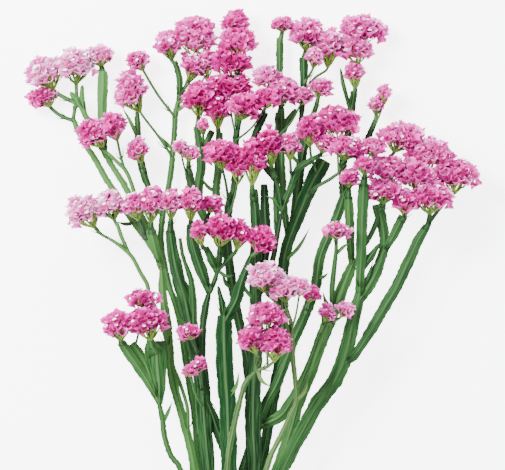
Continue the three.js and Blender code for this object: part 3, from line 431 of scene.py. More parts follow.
VIVID_BLOOMS = ("crown", "crown_low", "low_right", "low_middle", "band_middle")
PALE_BLOOMS = ("left_crest", "side_left", "front_high")
DEEP_STEMS = ("dark_blade", "broad_left", "broad_middle", "right_broad")
FRESH_STEMS = ("front_middle", "front_left")
BLOOM_TONES = dict.fromkeys(VIVID_BLOOMS, Pink.VIVID) | dict.fromkeys(PALE_BLOOMS, Pink.PALE)
STEM_TONES = dict.fromkeys(DEEP_STEMS, Green.DEEP) | dict.fromkeys(FRESH_STEMS, Green.FRESH)
BLOOM_SHIFTS = {  # how much darker each bloom is than its tone
    "front_left": -0.24, "front_low": -0.3, "front_high": -0.12, "centre_right": -0.28,
    "centre_right_low": -0.2, "far_right_mid": -0.1, "low_left": -0.2, "low_ruffle": -0.2,
    "stalk_upper": -0.2, "stalk_lower": -0.28, "bud_inner": -0.2, "left_shoulder": -0.14,
    "left_pair": -0.14, "right_small_low": -0.3, "right_small_high": -0.3,
}
# painted shade and light: each stem is drawn darker (below zero) and lighter (above zero) than its
# tone, standing for shading the lamps leave out
STEM_PAINTED_SHADING = {  # how much darker or lighter each stem is than its tone
    "broad_fork": -0.18, "right_inner": -0.08, "back_right": -0.08, "right_outer": 0.06,
    "left_trunk": 0.22, "tall_left": 0.02, "right_broad": 0.02, "broad_middle": -0.12,
}
# florets that hold a white corolla; the corollas are real, and their number also stands for painted
# highlights on the petals
COROLLA_AND_HIGHLIGHT_SHARES = {Pink.PALE: 0.2, Pink.MIDDLE: 0.15, Pink.VIVID: 0.08}  # florets with a corolla
FLORET_PATTERNS = 8
# painted light: a bloom's heads above this grid row are drawn paler, as if more brightly lit
PAINTED_LIGHT_ROWS = {"crown": 52}  # grid row above which a bloom's heads are paler


def linear(red: float, green: float, blue: float) -> tuple[float, float, float, float]:
    """Turns a screen colour into a scene colour.

    Args:
        red: Red from 0 to 255.
        green: Green from 0 to 255.
        blue: Blue from 0 to 255.

    Returns:
        The linear colour with full alpha.
    """
    parts = []
    for value in (red, green, blue):
        share = value / 255
        parts.append(share / 12.92 if share <= 0.04045 else ((share + 0.055) / 1.055) ** 2.4)
    return (parts[0], parts[1], parts[2], 1.0)


def screen_colours(colours: dict[str, Colour]) -> dict[str, float | tuple[float, ...]]:
    """Turns named screen colours into scene colours."""
    return {key: linear(*colour) for key, colour in colours.items()}


@dataclass(frozen=True)
class PetalFinish:
    """Colours of a papery floret from its throat to its rim; the dark throat and pale rim are
    partly the calyx's own colours, partly painted shade and painted highlight.
    """

    throat: Colour
    middle: Colour
    rim: Colour
    mottle_scale: float = 160
    roughness: float = 0.7
    relief: float = 0.2 * MM

    def inputs(self) -> dict[str, float | tuple[float, ...]]:
        """Gives the values of the shared effect by input name."""
        colours = {"Throat": self.throat, "Middle": self.middle, "Rim": self.rim}
        return screen_colours(colours) | {"Mottle Scale": self.mottle_scale}


@dataclass(frozen=True)
class StemFinish:
    """Colours of a winged stem."""

    wing: Colour
    shade: Colour
    # colour of the paler ridge and edge lines: partly the rib's own paler green, partly painted
    # highlight
    ridge: Colour
    fibre_count: float = 7
    roughness: float = 0.68
    relief: float = 0.3 * MM

    def inputs(self) -> dict[str, float | tuple[float, ...]]:
        """Gives the values of the shared effect by input name."""
        colours = {"Wing": self.wing, "Shade": self.shade, "Ridge": self.ridge}
        return screen_colours(colours) | {"Fibre Count": self.fibre_count}


PETAL_FINISHES = {
    Pink.PALE: PetalFinish((214, 70, 162), (230, 124, 198), (255, 226, 246)),
    Pink.MIDDLE: PetalFinish((192, 18, 134), (212, 62, 166), (248, 160, 224)),
    Pink.VIVID: PetalFinish((174, 0, 106), (196, 4, 138), (228, 84, 186)),
}
STEM_FINISHES = {
    Green.FRESH: StemFinish((80, 110, 58), (26, 62, 26), (134, 154, 108)),
    Green.MIDDLE: StemFinish((60, 104, 50), (2, 44, 14), (110, 142, 92)),
    Green.DEEP: StemFinish((46, 88, 42), (2, 28, 10), (90, 124, 76)),
}
BRACT_FINISH = StemFinish((112, 142, 50), (34, 76, 26), (196, 202, 98))
COROLLA_FINISH = PetalFinish((238, 206, 224), (252, 236, 246), (255, 246, 252))

# what the two shared effects have in common for every material
MOTTLE_DETAIL = 3
MOTTLE_SPAN = (0.25, 0.75)
MOTTLE_SHIFT = (-0.16, 0.16)
THROAT_FADE = (0.0, 0.55)
RIM_FADE = (0.6, 1.15)
FIBRE_DETAIL = 4
FIBRE_STRETCH = 40  # changes of a fibre in one metre of stem
FIBRE_CONTRAST = (0.3, 0.74)
# paler ridge and edge lines: painted highlight on the raised rib and the wing edges, partly the
# rib's own paler green
RIB_AND_HIGHLIGHT_LINES = (((0.24, 0.04), 0.28), ((0.88, 1.0), 0.12))  # ridge and edges: where, how strong


class EffectGroup:
    """A node group that several materials share, while it is being wired."""

    def __init__(self, name: str, colours: Sequence[str], amount: str) -> None:
        """Opens the group: colours and one number go in, a colour and a height come out.

        Args:
            name: The group's name.
            colours: The names of its colour inputs.
            amount: The name of its number input.
        """
        self.tree = bpy.data.node_groups.new(name, "ShaderNodeTree")
        sockets = [(colour, "INPUT", "NodeSocketColor") for colour in colours]
        sockets += [(amount, "INPUT", "NodeSocketFloat"), ("Color", "OUTPUT", "NodeSocketColor")]
        for label, side, kind in [*sockets, ("Height", "OUTPUT", "NodeSocketFloat")]:
            self.tree.interface.new_socket(name=label, in_out=side, socket_type=kind)
        self.given = self.tree.nodes.new("NodeGroupInput").outputs

    def add(
        self, kind: str, inputs: dict[str | int, float | Socket], **options: str
    ) -> bpy.types.Node:
        """Adds a node and fills its inputs.

        Args:
            kind: The node's type.
            inputs: A number or a socket for each input, by name or place.
            options: The node's own settings.

        Returns:
            The node.
        """
        node = self.tree.nodes.new(kind)
        for key, value in options.items():
            setattr(node, key, value)
        for key, value in inputs.items():
            if isinstance(value, Socket):
                self.tree.links.new(value, node.inputs[key])
            else:
                node.inputs[key].default_value = value
        return node

    def mark(self, name: str) -> Socket:
        """Reads one of the marks that the meshes carry."""
        return self.add("ShaderNodeAttribute", {}, attribute_name=name).outputs["Fac"]

    def join(self, kind: str, first: Socket, second: float | Socket = 0.0) -> Socket:
        """Works out one sum, product or other operation of two values."""
        return self.add("ShaderNodeMath", {0: first, 1: second}, operation=kind).outputs[0]

    def ramp(
        self, value: Socket, span: Span, result: Span = (0.0, 1.0), kind: str = "SMOOTHSTEP"
    ) -> Socket:
        """Maps a value from one span to another.

        Args:
            value: The value.
            span: The two values that give the result's ends.
            result: The result's ends.
            kind: How it goes from one to the other.

        Returns:
            The socket of the result.
        """
        ends = {"Value": value, "From Min": span[0], "From Max": span[1]}
        ends |= {"To Min": result[0], "To Max": result[1]}
        return self.add("ShaderNodeMapRange", ends, interpolation_type=kind).outputs["Result"]

    def blend(self, share: Socket, first: Socket, second: Socket) -> Socket:
        """Mixes two colours; the share says how much of the second one shows."""
        colours = {"Factor": share, 6: first, 7: second}
        return self.add("ShaderNodeMix", colours, data_type="RGBA").outputs[2]

    def close(self, colour: Socket, height: Socket) -> bpy.types.NodeTree:
        """Ends the group with its colour and height."""
        self.add("NodeGroupOutput", {"Color": colour, "Height": height})
        return self.tree


def papery_tissue() -> bpy.types.NodeTree:
    """Builds the effect that fades a floret from throat to rim with fine mottling; the dark throat
    is partly painted shade and the pale rim partly painted highlight.

    Returns:
        The node group.
    """
    group = EffectGroup("papery_tissue", ("Throat", "Middle", "Rim"), "Mottle Scale")
    given = group.given
    grain = {"Detail": MOTTLE_DETAIL, "Scale": given["Mottle Scale"]}
    mottle = group.add("ShaderNodeTexNoise", grain).outputs["Fac"]
    mottling = group.ramp(mottle, MOTTLE_SPAN, MOTTLE_SHIFT, "LINEAR")
    level = group.join("ADD", group.mark("rise"), group.join("ADD", group.mark("tone"), mottling))
    lower = group.blend(group.ramp(level, THROAT_FADE), given["Throat"], given["Middle"])
    upper = group.blend(group.ramp(level, RIM_FADE), lower, given["Rim"])
    return group.close(upper, mottle)


def fibre_grain() -> bpy.types.NodeTree:
    """Builds the effect that draws fibres along a stem, shifts it by the tone mark, which carries
    painted shade and light, and adds a paler ridge and paler edges that are partly painted
    highlight.

    Returns:
        The node group.
    """
    group = EffectGroup("fibre_grain", ("Wing", "Shade", "Ridge"), "Fibre Count")
    given = group.given
    across = group.mark("rise")
    turns = group.join("MULTIPLY", across, given["Fibre Count"])
    stretch = group.join("MULTIPLY", group.mark("along"), FIBRE_STRETCH)
    spot = group.add("ShaderNodeCombineXYZ", {"X": turns, "Y": stretch}).outputs["Vector"]
    grain = {"Detail": FIBRE_DETAIL, "Scale": 1, "Vector": spot}
    fibre = group.add("ShaderNodeTexNoise", grain).outputs["Fac"]
    # on stems the tone mark carries their painted shade and light: low tones go towards Shade, high
    # tones towards Wing
    lit = group.ramp(group.join("ADD", fibre, group.mark("tone")), FIBRE_CONTRAST)
    colour = group.blend(lit, given["Shade"], given["Wing"])
    # paler ridge and edges: partly painted highlight
    width = group.join("ABSOLUTE", across)
    for span, strength in RIB_AND_HIGHLIGHT_LINES:
        paler = group.join("MULTIPLY", group.ramp(width, span), strength)
        colour = group.blend(paler, colour, given["Ridge"])
    return group.close(colour, fibre)


class Wardrobe:
    """Makes each material of the bunch once."""

    SPECULAR = 0.12
    BUMP_STRENGTH = 0.5

    def __init__(self) -> None:
        """Makes the shared effects and the materials."""
        paper = papery_tissue()
        fibre = fibre_grain()
        petals, stems = PETAL_FINISHES.items(), STEM_FINISHES.items()
        self.petals = {tone: self.dress(tone.value, paper, look) for tone, look in petals}
        self.stems = {tone: self.dress(tone.value, fibre, look) for tone, look in stems}
        self.bract = self.dress("bract_green", fibre, BRACT_FINISH)
        self.corolla = self.dress("corolla_white", paper, COROLLA_FINISH)

    def dress(
        self, name: str, effect: bpy.types.NodeTree, finish: PetalFinish | StemFinish
    ) -> bpy.types.Material:
        """Makes a material whose colour and relief come from one shared effect.

        Args:
            name: The material's name.
            effect: The node group.
            finish: The material's values.

        Returns:
            The material.
        """
        material = bpy.data.materials.new(name)
        material.use_nodes = True
        nodes = material.node_tree.nodes
        links = material.node_tree.links
        shader = nodes["Principled BSDF"]
        shader.inputs["Roughness"].default_value = finish.roughness
        shader.inputs["Specular IOR Level"].default_value = self.SPECULAR
        group = nodes.new("ShaderNodeGroup")
        group.node_tree = effect
        for key, value in finish.inputs().items():
            group.inputs[key].default_value = value
        links.new(group.outputs["Color"], shader.inputs["Base Color"])
        bump = nodes.new("ShaderNodeBump")
        bump.inputs["Strength"].default_value = self.BUMP_STRENGTH
        bump.inputs["Distance"].default_value = finish.relief
        links.new(group.outputs["Height"], bump.inputs["Height"])
        links.new(bump.outputs["Normal"], shader.inputs["Normal"])
        return material


def place(column: float, row: float, height: float) -> np.ndarray:
    """Turns a spot on the drawing grid into a point of the bunch.

    Args:
        column: The grid column.
        row: The grid row.
        height: The height in millimetres.

    Returns:
        The point in metres.
    """
    return np.array([(column - ORIGIN_COLUMN) * GRID, (ORIGIN_ROW - row) * GRID, height * MM])


def distances(points: Line) -> np.ndarray:
    """Gives how far along a line each of its points lies."""
    return np.concatenate([[0], np.cumsum(np.linalg.norm(np.diff(points, axis=0), axis=1))])


def route_points(route: Route, start: float, end: float) -> Line:
    """Fills the heights that a route leaves out in proportion to the distance along it.

    Args:
        route: Steps of [column, row] or [column, row, height].
        start: Height of the first step where it gives none, in millimetres.
        end: Height of the last step where it gives none.

    Returns:
        One point a step, in metres.
    """
    flat = np.array([place(step[0], step[1], 0) for step in route])
    along = distances(flat)
    heights = [step[2] if len(step) > 2 else None for step in route]
    heights[0] = start if heights[0] is None else heights[0]
    heights[-1] = end if heights[-1] is None else heights[-1]
    known = [index for index, height in enumerate(heights) if height is not None]
    flat[:, 2] = np.interp(along, along[known], [heights[index] * MM for index in known])
    return flat


def smooth_line(points: Line, step: float, samples: int = 12) -> Line:
    """Runs a smooth curve through points and samples it evenly.

    Args:
        points: The points to pass through.
        step: The distance between samples.
        samples: How finely each stretch is drawn before that.

    Returns:
        The sampled points.
    """
    padded = np.vstack([2 * points[0] - points[1], points, 2 * points[-1] - points[-2]])
    share = np.linspace(0, 1, samples, endpoint=False)[:, None]
    pieces = []
    for index in range(1, len(padded) - 2):
        before, here, there, after = padded[index - 1 : index + 3]
        first = math.sqrt(np.linalg.norm(here - before))
        span = math.sqrt(np.linalg.norm(there - here))
        last = math.sqrt(np.linalg.norm(after - there))
        chord = (there - here) / span
        leave = span * ((here - before) / first - (there - before) / (first + span) + chord)
        reach = span * (chord - (after - here) / (span + last) + (after - there) / last)
        cubic = 2 * (here - there) + leave + reach
        square = 3 * (there - here) - 2 * leave - reach
        pieces.append(here + leave * share + square * share**2 + cubic * share**3)
    dense = np.vstack([*pieces, padded[-2]])
    along = distances(dense)
    stops = np.linspace(0, along[-1], max(2, round(along[-1] / step) + 1))
    return np.stack([np.interp(stops, along, dense[:, axis]) for axis in range(3)], axis=1)


def unit(vector: np.ndarray) -> np.ndarray:
    """Scales a vector, or each row of vectors, to length one."""
    return vector / np.linalg.norm(vector, axis=-1, keepdims=True)


def frames_along(line: Line) -> tuple[np.ndarray, np.ndarray, np.ndarray]:
    """Gives the directions along, across and over a line at each of its points.

    Args:
        line: The sampled line.

    Returns:
        The directions along, across and over it.
    """
    along = unit(np.gradient(line, axis=0))
    side = unit(np.cross(along, np.array([0.0, 0.0, 1.0])))
    return along, side, np.cross(side, along)


def frame_round(up: np.ndarray, upright: float = 0.05) -> tuple[np.ndarray, np.ndarray]:
    """Gives two directions square to an axis, the first level with the ground.

    Args:
        up: The axis.
        upright: How near to plumb an axis counts as plumb.

    Returns:
        The two directions.
    """
    side = np.cross(up, np.array([0.0, 0.0, 1.0]))
    if np.linalg.norm(side) < upright:
        side = np.array([1.0, 0.0, 0.0])
    side = unit(side)
    return side, unit(np.cross(side, up))


def around(side: np.ndarray, over: np.ndarray, angle: float, level: float = 1.0) -> np.ndarray:
    """Gives the direction at an angle from side towards over, as long as level says."""
    return side * level * math.cos(angle) + over * level * math.sin(angle)


def tube_faces(rings: int, size: int, closed: bool) -> Faces:
    """Joins rings of points into a tube.

    Args:
        rings: The number of rings.
        size: The number of points in a ring.
        closed: True to close both ends.

    Returns:
        The faces.
    """
    faces = []
    for ring in range(rings - 1):
        for corner in range(size):
            here = ring * size + corner
            after = ring * size + (corner + 1) % size
            faces.append((here, here + size, after + size, after))
    if closed:
        faces.append(tuple(range(size)))
        last = (rings - 1) * size
        faces.append(tuple(last + corner for corner in reversed(range(size))))
    return faces


class Draft:
    """Gathers the points, faces and colour marks of one mesh."""

    def __init__(self) -> None:
        """Starts empty."""
        self.points: list[np.ndarray] = []
        self.faces: Faces = []
        self.marks: dict[str, list[np.ndarray]] = {"rise": [], "along": [], "tone": []}
        self.count = 0

    def add(
        self,
        points: Line,
        faces: Faces,
        rise: np.ndarray,
        tone: float,
        along: np.ndarray | None = None,
    ) -> None:
        """Adds one patch of surface, which stays above the floor.

        Args:
            points: Its points.
            faces: Its faces, which count from its own first point.
            rise: The mark across it, one value a point.
            tone: A shift of tone for the whole patch.
            along: The mark along it, one value a point.
        """
        points[:, 2] = np.maximum(points[:, 2], 0)
        self.points.append(points)
        self.faces.extend(tuple(self.count + corner for corner in face) for face in faces)
        self.marks["rise"].append(rise)
        self.marks["tone"].append(np.full(len(points), tone))
        self.marks["along"].append(np.zeros(len(points)) if along is None else along)
        self.count += len(points)

    def build(self, name: str, material: bpy.types.Material, smooth: bool) -> bpy.types.Object:
        """Makes the Blender object.

        Args:
            name: The piece's name.
            material: Its material.
            smooth: True for smooth shading.

        Returns:
            The object.
        """
        mesh = bpy.data.meshes.new(name)
        mesh.from_pydata(np.vstack(self.points).tolist(), [], self.faces)
        for key, parts in self.marks.items():
            attribute = mesh.attributes.new(key, "FLOAT", "POINT")
            attribute.data.foreach_set("value", np.concatenate(parts).astype(np.float32))
        mesh.polygons.foreach_set("use_smooth", [smooth] * len(mesh.polygons))
        mesh.materials.append(material)
        mesh.update()
        piece = bpy.data.objects.new(name, mesh)
        bpy.context.scene.collection.objects.link(piece)
        return piece


@dataclass
class Growth:
    """A closed body that is swept along a line."""

    line: Line

    def strands(self) -> tuple[list[Line], list[float], np.ndarray]:
        """Gives the lines that run along the body's skin.

        Returns:
            The lines, the mark across each, and the mark along at each of their points.
        """
        raise NotImplementedError

    def draw(self, draft: Draft, tone: float) -> None:
        """Adds the body's skin to a draft.

        Args:
            draft: The mesh to add to.
            tone: A shift of tone.
        """
        lines, across, along = self.strands()
        points = np.stack(lines, axis=1).reshape(-1, 3)
        faces = tube_faces(len(along), len(lines), True)
        draft.add(points, faces, np.tile(across, len(along)), tone, np.repeat(along, len(lines)))


@dataclass
class StemRun(Growth):
    """One run of a stem: two thin wings on a ridge, or a plain rod where it is narrow."""

    widths: Sequence[float]
    seed: float
    rooted: bool
    tip_share: float | None = None
    edge: float = 0.7 * MM
    edge_below: float = 0.3
    ridge_share: float = 0.42
    ridge_span: Span = (2.2 * MM, 4.2 * MM)
    winged_from: float = 4.6
    ruffle: float = 1.0 * MM
    ruffle_length: float = 13 * MM
    ruffle_width: float = 8 * MM
    notch: float = 0.12
    notch_length: float = 12 * MM
    tooth: float = 0.28 * MM
    tooth_length: float = 3.6 * MM
    tooth_gain: float = 2.4
    step: float = 0.09
    step_length: float = 62 * MM
    step_offset: float = 0.47
    step_fall: float = 12
    calm: float = 60 * MM
    taper: float = 13 * MM
    taper_widths: Span = (8.0, 12.0)
    taper_shares: Span = (0.2, 0.7)
    taper_power: float = 0.6

    # shares of half the width and of the ridge's height, from the edge to the middle
    WINGED = ((1, 0.12), (0.82, 0.29), (0.56, 0.32), (0.34, 0.56), (0.16, 0.88), (0, 1))
    PLAIN = ((1, 0.1), (0.72, 0.5), (0.4, 0.86), (0, 1))
    NOTCH_LANE = 5
    TOOTH_LANE = 9

    def strands(self) -> tuple[list[Line], list[float], np.ndarray]:
        """Sweeps the run's outline along its line.

        Returns:
            The strands, the mark across each and the mark along them.
        """
        _, side, over = frames_along(self.line)
        gone = distances(self.line)
        width = self._width(gone)
        ridge = np.clip(width * self.ridge_share, *self.ridge_span) / 2
        winged = max(self.widths) >= self.winged_from
        life = np.ones(len(gone)) if self.rooted else np.clip((gone - self.calm) / self.calm, 0, 1)
        half = self.WINGED if winged else self.PLAIN
        upper = [*half, *((-across, lift) for across, lift in reversed(half[:-1]))]
        profile = upper + [(across, -lift) for across, lift in reversed(upper)]
        lines = []
        for across, lift_share in profile:
            right = across > 0
            outer = across**2
            swell = self.notch * self._noise(gone / self.notch_length, self.NOTCH_LANE + right)
            if winged:
                grown = (gone / self.step_length + self.seed + self.step_offset * right) % 1
                swell = swell + self.step * (np.minimum(grown, (1 - grown) * self.step_fall) - 0.5)
            reach = width / 2 * across * (1 + life * outer * swell)
            if winged and abs(across) == 1:
                teeth = self._noise(gone / self.tooth_length * 2, self.TOOTH_LANE + right)
                reach = reach + across * life * self.tooth * (1 + self.tooth_gain * teeth)
            lift = lift_share * np.where(abs(lift_share) < self.edge_below, self.edge, ridge)
            if winged:
                wave = self._noise(gone / self.ruffle_length, right)
                lift = lift + life * outer * self.ruffle * wave * width / self.ruffle_width
            lines.append(self.line + side * reach[:, None] + over * lift[:, None])
        return lines, [across for across, _ in profile], gone

    def _width(self, gone: np.ndarray) -> np.ndarray:
        """Gives the run's width along it, with the taper of its tip.

        Args:
            gone: How far along the run each point lies.

        Returns:
            The widths in metres.
        """
        stops = np.linspace(0, 1, len(self.widths))
        width = np.interp(gone / gone[-1], stops, np.array(self.widths) * MM)
        tip = self.tip_share or np.interp(self.widths[-1], self.taper_widths, self.taper_shares)
        left = np.clip((gone[-1] - gone) / min(self.taper, gone[-1] / 2), 0, 1)
        return width * (tip + (1 - tip) * left**self.taper_power)

    def _noise(self, along: np.ndarray, lane: float) -> np.ndarray:
        """Samples the smooth chance of one lane along the run."""
        return np.array([noise.noise(Vector((spot, self.seed, lane))) for spot in along])


@dataclass
class Leaflet(Growth):
    """A sickle leaflet at a fork of a stem."""

    width: float = 3.2 * MM
    thickness: float = 0.5 * MM
    fold: float = 0.9 * MM
    narrowest: float = 0.25 * MM
    bulge_from: float = 0.18
    bulge_span: float = 0.81
    grain_length: float = 0.03

    # place across, share of the fold's lift and share of the thickness
    PROFILE = ((1, 1, 0.2), (0.5, 0.55, 0.5), (0, 0, 0.9), (-0.5, 0.55, 0.5), (-1, 1, 0.2))

    def strands(self) -> tuple[list[Line], list[float], np.ndarray]:
        """Sweeps the leaflet's outline along its line.

        Returns:
            The strands, the mark across each and the mark along them.
        """
        _, side, over = frames_along(self.line)
        share = np.linspace(0, 1, len(self.line))
        swell = np.sin(math.pi * (self.bulge_from + self.bulge_span * share))
        half = np.maximum(self.narrowest, self.width / 2 * swell)
        below = [(across, lift, -depth) for across, lift, depth in reversed(self.PROFILE)]
        outline = [*self.PROFILE, *below]
        lines = []
        for across, lift, depth in outline:
            rise = self.fold * lift * half / self.width * 2 + depth * self.thickness / 2
            lines.append(self.line + side * (across * half)[:, None] + over * rise[:, None])
        return lines, [across for across, _, _ in outline], share * self.grain_length


@dataclass
class Twig(Growth):
    """A round, tapering twig or flower stalk."""

    root: float
    tip: float
    sides: int = 6

    def strands(self) -> tuple[list[Line], list[float], np.ndarray]:
        """Sweeps the twig's outline along its line.

        Returns:
            The strands, the mark across each and the mark along them.
        """
        _, side, over = frames_along(self.line)
        radius = np.linspace(self.root, self.tip, len(self.line))[:, None]
        angles = [FULL_TURN * index / self.sides for index in range(self.sides)]
        lines = [self.line + radius * around(side, over, angle) for angle in angles]
        reach = np.linalg.norm(self.line[-1] - self.line[0])
        return lines, [math.cos(angle) for angle in angles], np.linspace(0, reach, len(self.line))


@dataclass
class Head:
    """A dome of papery florets on its comb of bracts."""

    name: str
    middle: np.ndarray
    half: np.ndarray
    rng: random.Random
    up: np.ndarray = field(default_factory=lambda: np.array([0.0, 1.0, 0.0]))
    depths: Span = (5.5 * MM, 11 * MM)
    spacing: float = 5.0 * MM
    fewest: int = 9
    lumps: float = 0.34
    lump_size: float = 2.0
    lump_range: float = 50
    inset: float = 0.7 * MM
    small_from: Span = (5.0 * MM, 10.0 * MM)
    small_sizes: Span = (0.72, 1.0)
    spread: float = 0.55
    climb: float = 0.8
    lowest: float = -0.38
    jitter: float = 0.3

    @classmethod
    def from_plan(cls, plan: Sequence, rng: random.Random) -> "Head":
        """Makes a head from its line in the plan.

        Args:
            plan: The bloom, spot, size, height and twig.
            rng: The source of chance.

        Returns:
            The head.
        """
        name, (column, row), (wide, tall), height = plan[:4]
        least, most = cls.depths
        depth = min(max(min(wide, tall) * GRID / 2, least), most)
        half = np.array([wide * GRID / 2, tall * GRID / 2, depth])
        return cls(name, place(column, row, height), half, rng)

    @property
    def floret_size(self) -> float:
        """The size of the head's florets; small heads have smaller ones."""
        return float(np.interp(min(self.half[:2]), self.small_from, self.small_sizes))

    def reach(self, direction: np.ndarray) -> float:
        """Gives how far the head's surface lies from its middle in one direction."""
        return 1 / float(np.linalg.norm(direction / self.half))

    def holds(self, point: np.ndarray, share: float) -> bool:
        """Tells whether a point lies inside the head scaled by a share."""
        return float(np.linalg.norm((point - self.middle) / self.half)) < share

    def seats(self) -> list[tuple[np.ndarray, np.ndarray]]:
        """Spreads floret seats evenly over the dome.

        Returns:
            A place and a facing direction for each floret.
        """
        x, y, z = self.half
        area = 4 * math.pi * (x * y + x * z + y * z) / 3
        count = max(self.fewest, round(area / (self.spacing * self.floret_size) ** 2))
        side, over = frame_round(self.up)
        turn = self.rng.random() * FULL_TURN
        shift = self.rng.random() * self.lump_range
        found = []
        for index in range(count):
            rise = 1 - 2 * (index + 0.5) / count + (self.rng.random() - 0.5) / count
            angle = turn + index * GOLDEN_ANGLE + (self.rng.random() - 0.5) * self.jitter
            if rise < self.lowest:
                continue
            level = math.sqrt(max(0.0, 1 - rise * rise))
            direction = unit(around(side, over, angle, level) + self.up * rise)
            lump = noise.noise(Vector(direction * self.lump_size) + Vector((shift, 0, 0)))
            reach = self.reach(direction) * (1 + self.lumps * lump) - self.inset * self.floret_size
            facing = unit(unit(direction / self.half**2) * self.spread + self.up * self.climb)
            found.append((self.middle + direction * reach, facing))
        return found


@dataclass
class FloretPattern:
    """A pleated, frilled funnel of papery tissue, about eight millimetres across."""

    rng: random.Random
    lobes: int = 5
    segments: int = 20
    radii: tuple[float, ...] = (0.6, 1.4, 2.7, 3.9)
    depths: tuple[float, ...] = (-6.4, -4.0, -1.7, 0.0)
    rises: tuple[float, ...] = (0.0, 0.3, 0.65, 1.0)
    droops: Span = (-0.9, 1.2)
    lengths: Span = (0.9, 1.15)
    roughness: Span = (-0.3, 0.3)
    crest_turn: float = math.pi * 0.75
    crest_reach: float = 0.1
    crest_level: float = 0.6
    crest_lift: float = 0.8
    rim_drop: float = 0.4
    # rise mark from throat to rim: the pale rim and crests are partly the calyx's own paler edge
    # and partly painted highlight
    rim_tones: Span = (0.86, 0.14)  # at the rim, and what a crest adds
    pleat_reach: float = 0.05
    pleat_lift: float = 0.22
    # painted light and shade: alternate pleats are drawn lighter and darker
    pleat_light_and_shade: float = 0.06

    def __post_init__(self) -> None:
        """Draws one pattern."""
        self.points, self.rise = self._shape()
        self.faces = tube_faces(len(self.radii), self.segments, False)

    def _shape(self) -> tuple[np.ndarray, np.ndarray]:
        """Shapes the funnel's rings.

        Returns:
            The points and the share from throat to rim of each.
        """
        points = []
        rise = []
        droop = [self.rng.uniform(*self.droops) for _ in range(self.lobes)]
        length = [self.rng.uniform(*self.lengths) for _ in range(self.lobes)]
        for radius, depth, share in zip(self.radii, self.depths, self.rises):
            for index in range(self.segments):
                angle = FULL_TURN * index / self.segments
                lobe = index * self.lobes // self.segments
                crest = 0.5 + 0.5 * math.cos(self.lobes * angle - self.crest_turn)
                pleat = 1 if index % 2 else -1
                petal = self.crest_reach * (crest - self.crest_level) + (length[lobe] - 1)
                reach = radius * (1 + share * petal + self.pleat_reach * share * pleat)
                frill = self.crest_lift * crest - self.rim_drop + self.pleat_lift * pleat
                frill = frill - droop[lobe] + self.rng.uniform(*self.roughness)
                ring = (reach * math.cos(angle), reach * math.sin(angle))
                points.append((*ring, depth + share * frill))
                tone = share * (self.rim_tones[0] + self.rim_tones[1] * crest)
                # alternate pleats painted lighter and darker
                rise.append(tone + self.pleat_light_and_shade * pleat * share)
        return np.array(points) * MM, np.array(rise)


@dataclass
class CorollaPattern:
    """A tiny five-petalled corolla that opens inside a floret."""

    petals: int = 5
    length: float = 1.7 * MM
    shoulder: float = 0.62
    half_width: float = 0.9 * MM
    throat: float = -0.6 * MM
    lift: float = 0.5 * MM
    tip_lift: float = 0.6
    throat_tone: float = 0.2
    petal_tones: tuple[float, ...] = (0.8, 1.0, 0.8)

    def __post_init__(self) -> None:
        """Draws the pattern."""
        points = [(0.0, 0.0, self.throat)]
        rise = [self.throat_tone]
        self.faces: Faces = []
        lift = np.array([0.0, 0.0, self.lift])
        for index in range(self.petals):
            angle = FULL_TURN * index / self.petals
            along = np.array([math.cos(angle), math.sin(angle), 0.0])
            cross = np.array([-math.sin(angle), math.cos(angle), 0.0])
            base = len(points)
            shoulder = along * self.length * self.shoulder + lift
            tip = along * self.length + lift * self.tip_lift
            points += [shoulder + cross * self.half_width, tip, shoulder - cross * self.half_width]
            rise += self.petal_tones
            self.faces.append((0, base + 2, base + 1, base))
        self.points = np.array(points)
        self.rise = np.array(rise)


@dataclass
class Seat:
    """Where one pattern stands: its spot, facing, size and turn round its own axis."""

    spot: np.ndarray
    facing: np.ndarray
    size: float
    turn: float

    def plant(self, draft: Draft, pattern: FloretPattern | CorollaPattern, tone: float) -> None:
        """Adds a copy of a pattern that stands in the seat.

        Args:
            draft: The mesh to add to.
            pattern: The pattern.
            tone: A shift of tone.
        """
        first = around(*frame_round(self.facing), self.turn)
        second = np.cross(self.facing, first)
        points = self.spot + self.size * (pattern.points @ np.stack([first, second, self.facing]))
        draft.add(points, pattern.faces, pattern.rise, tone)


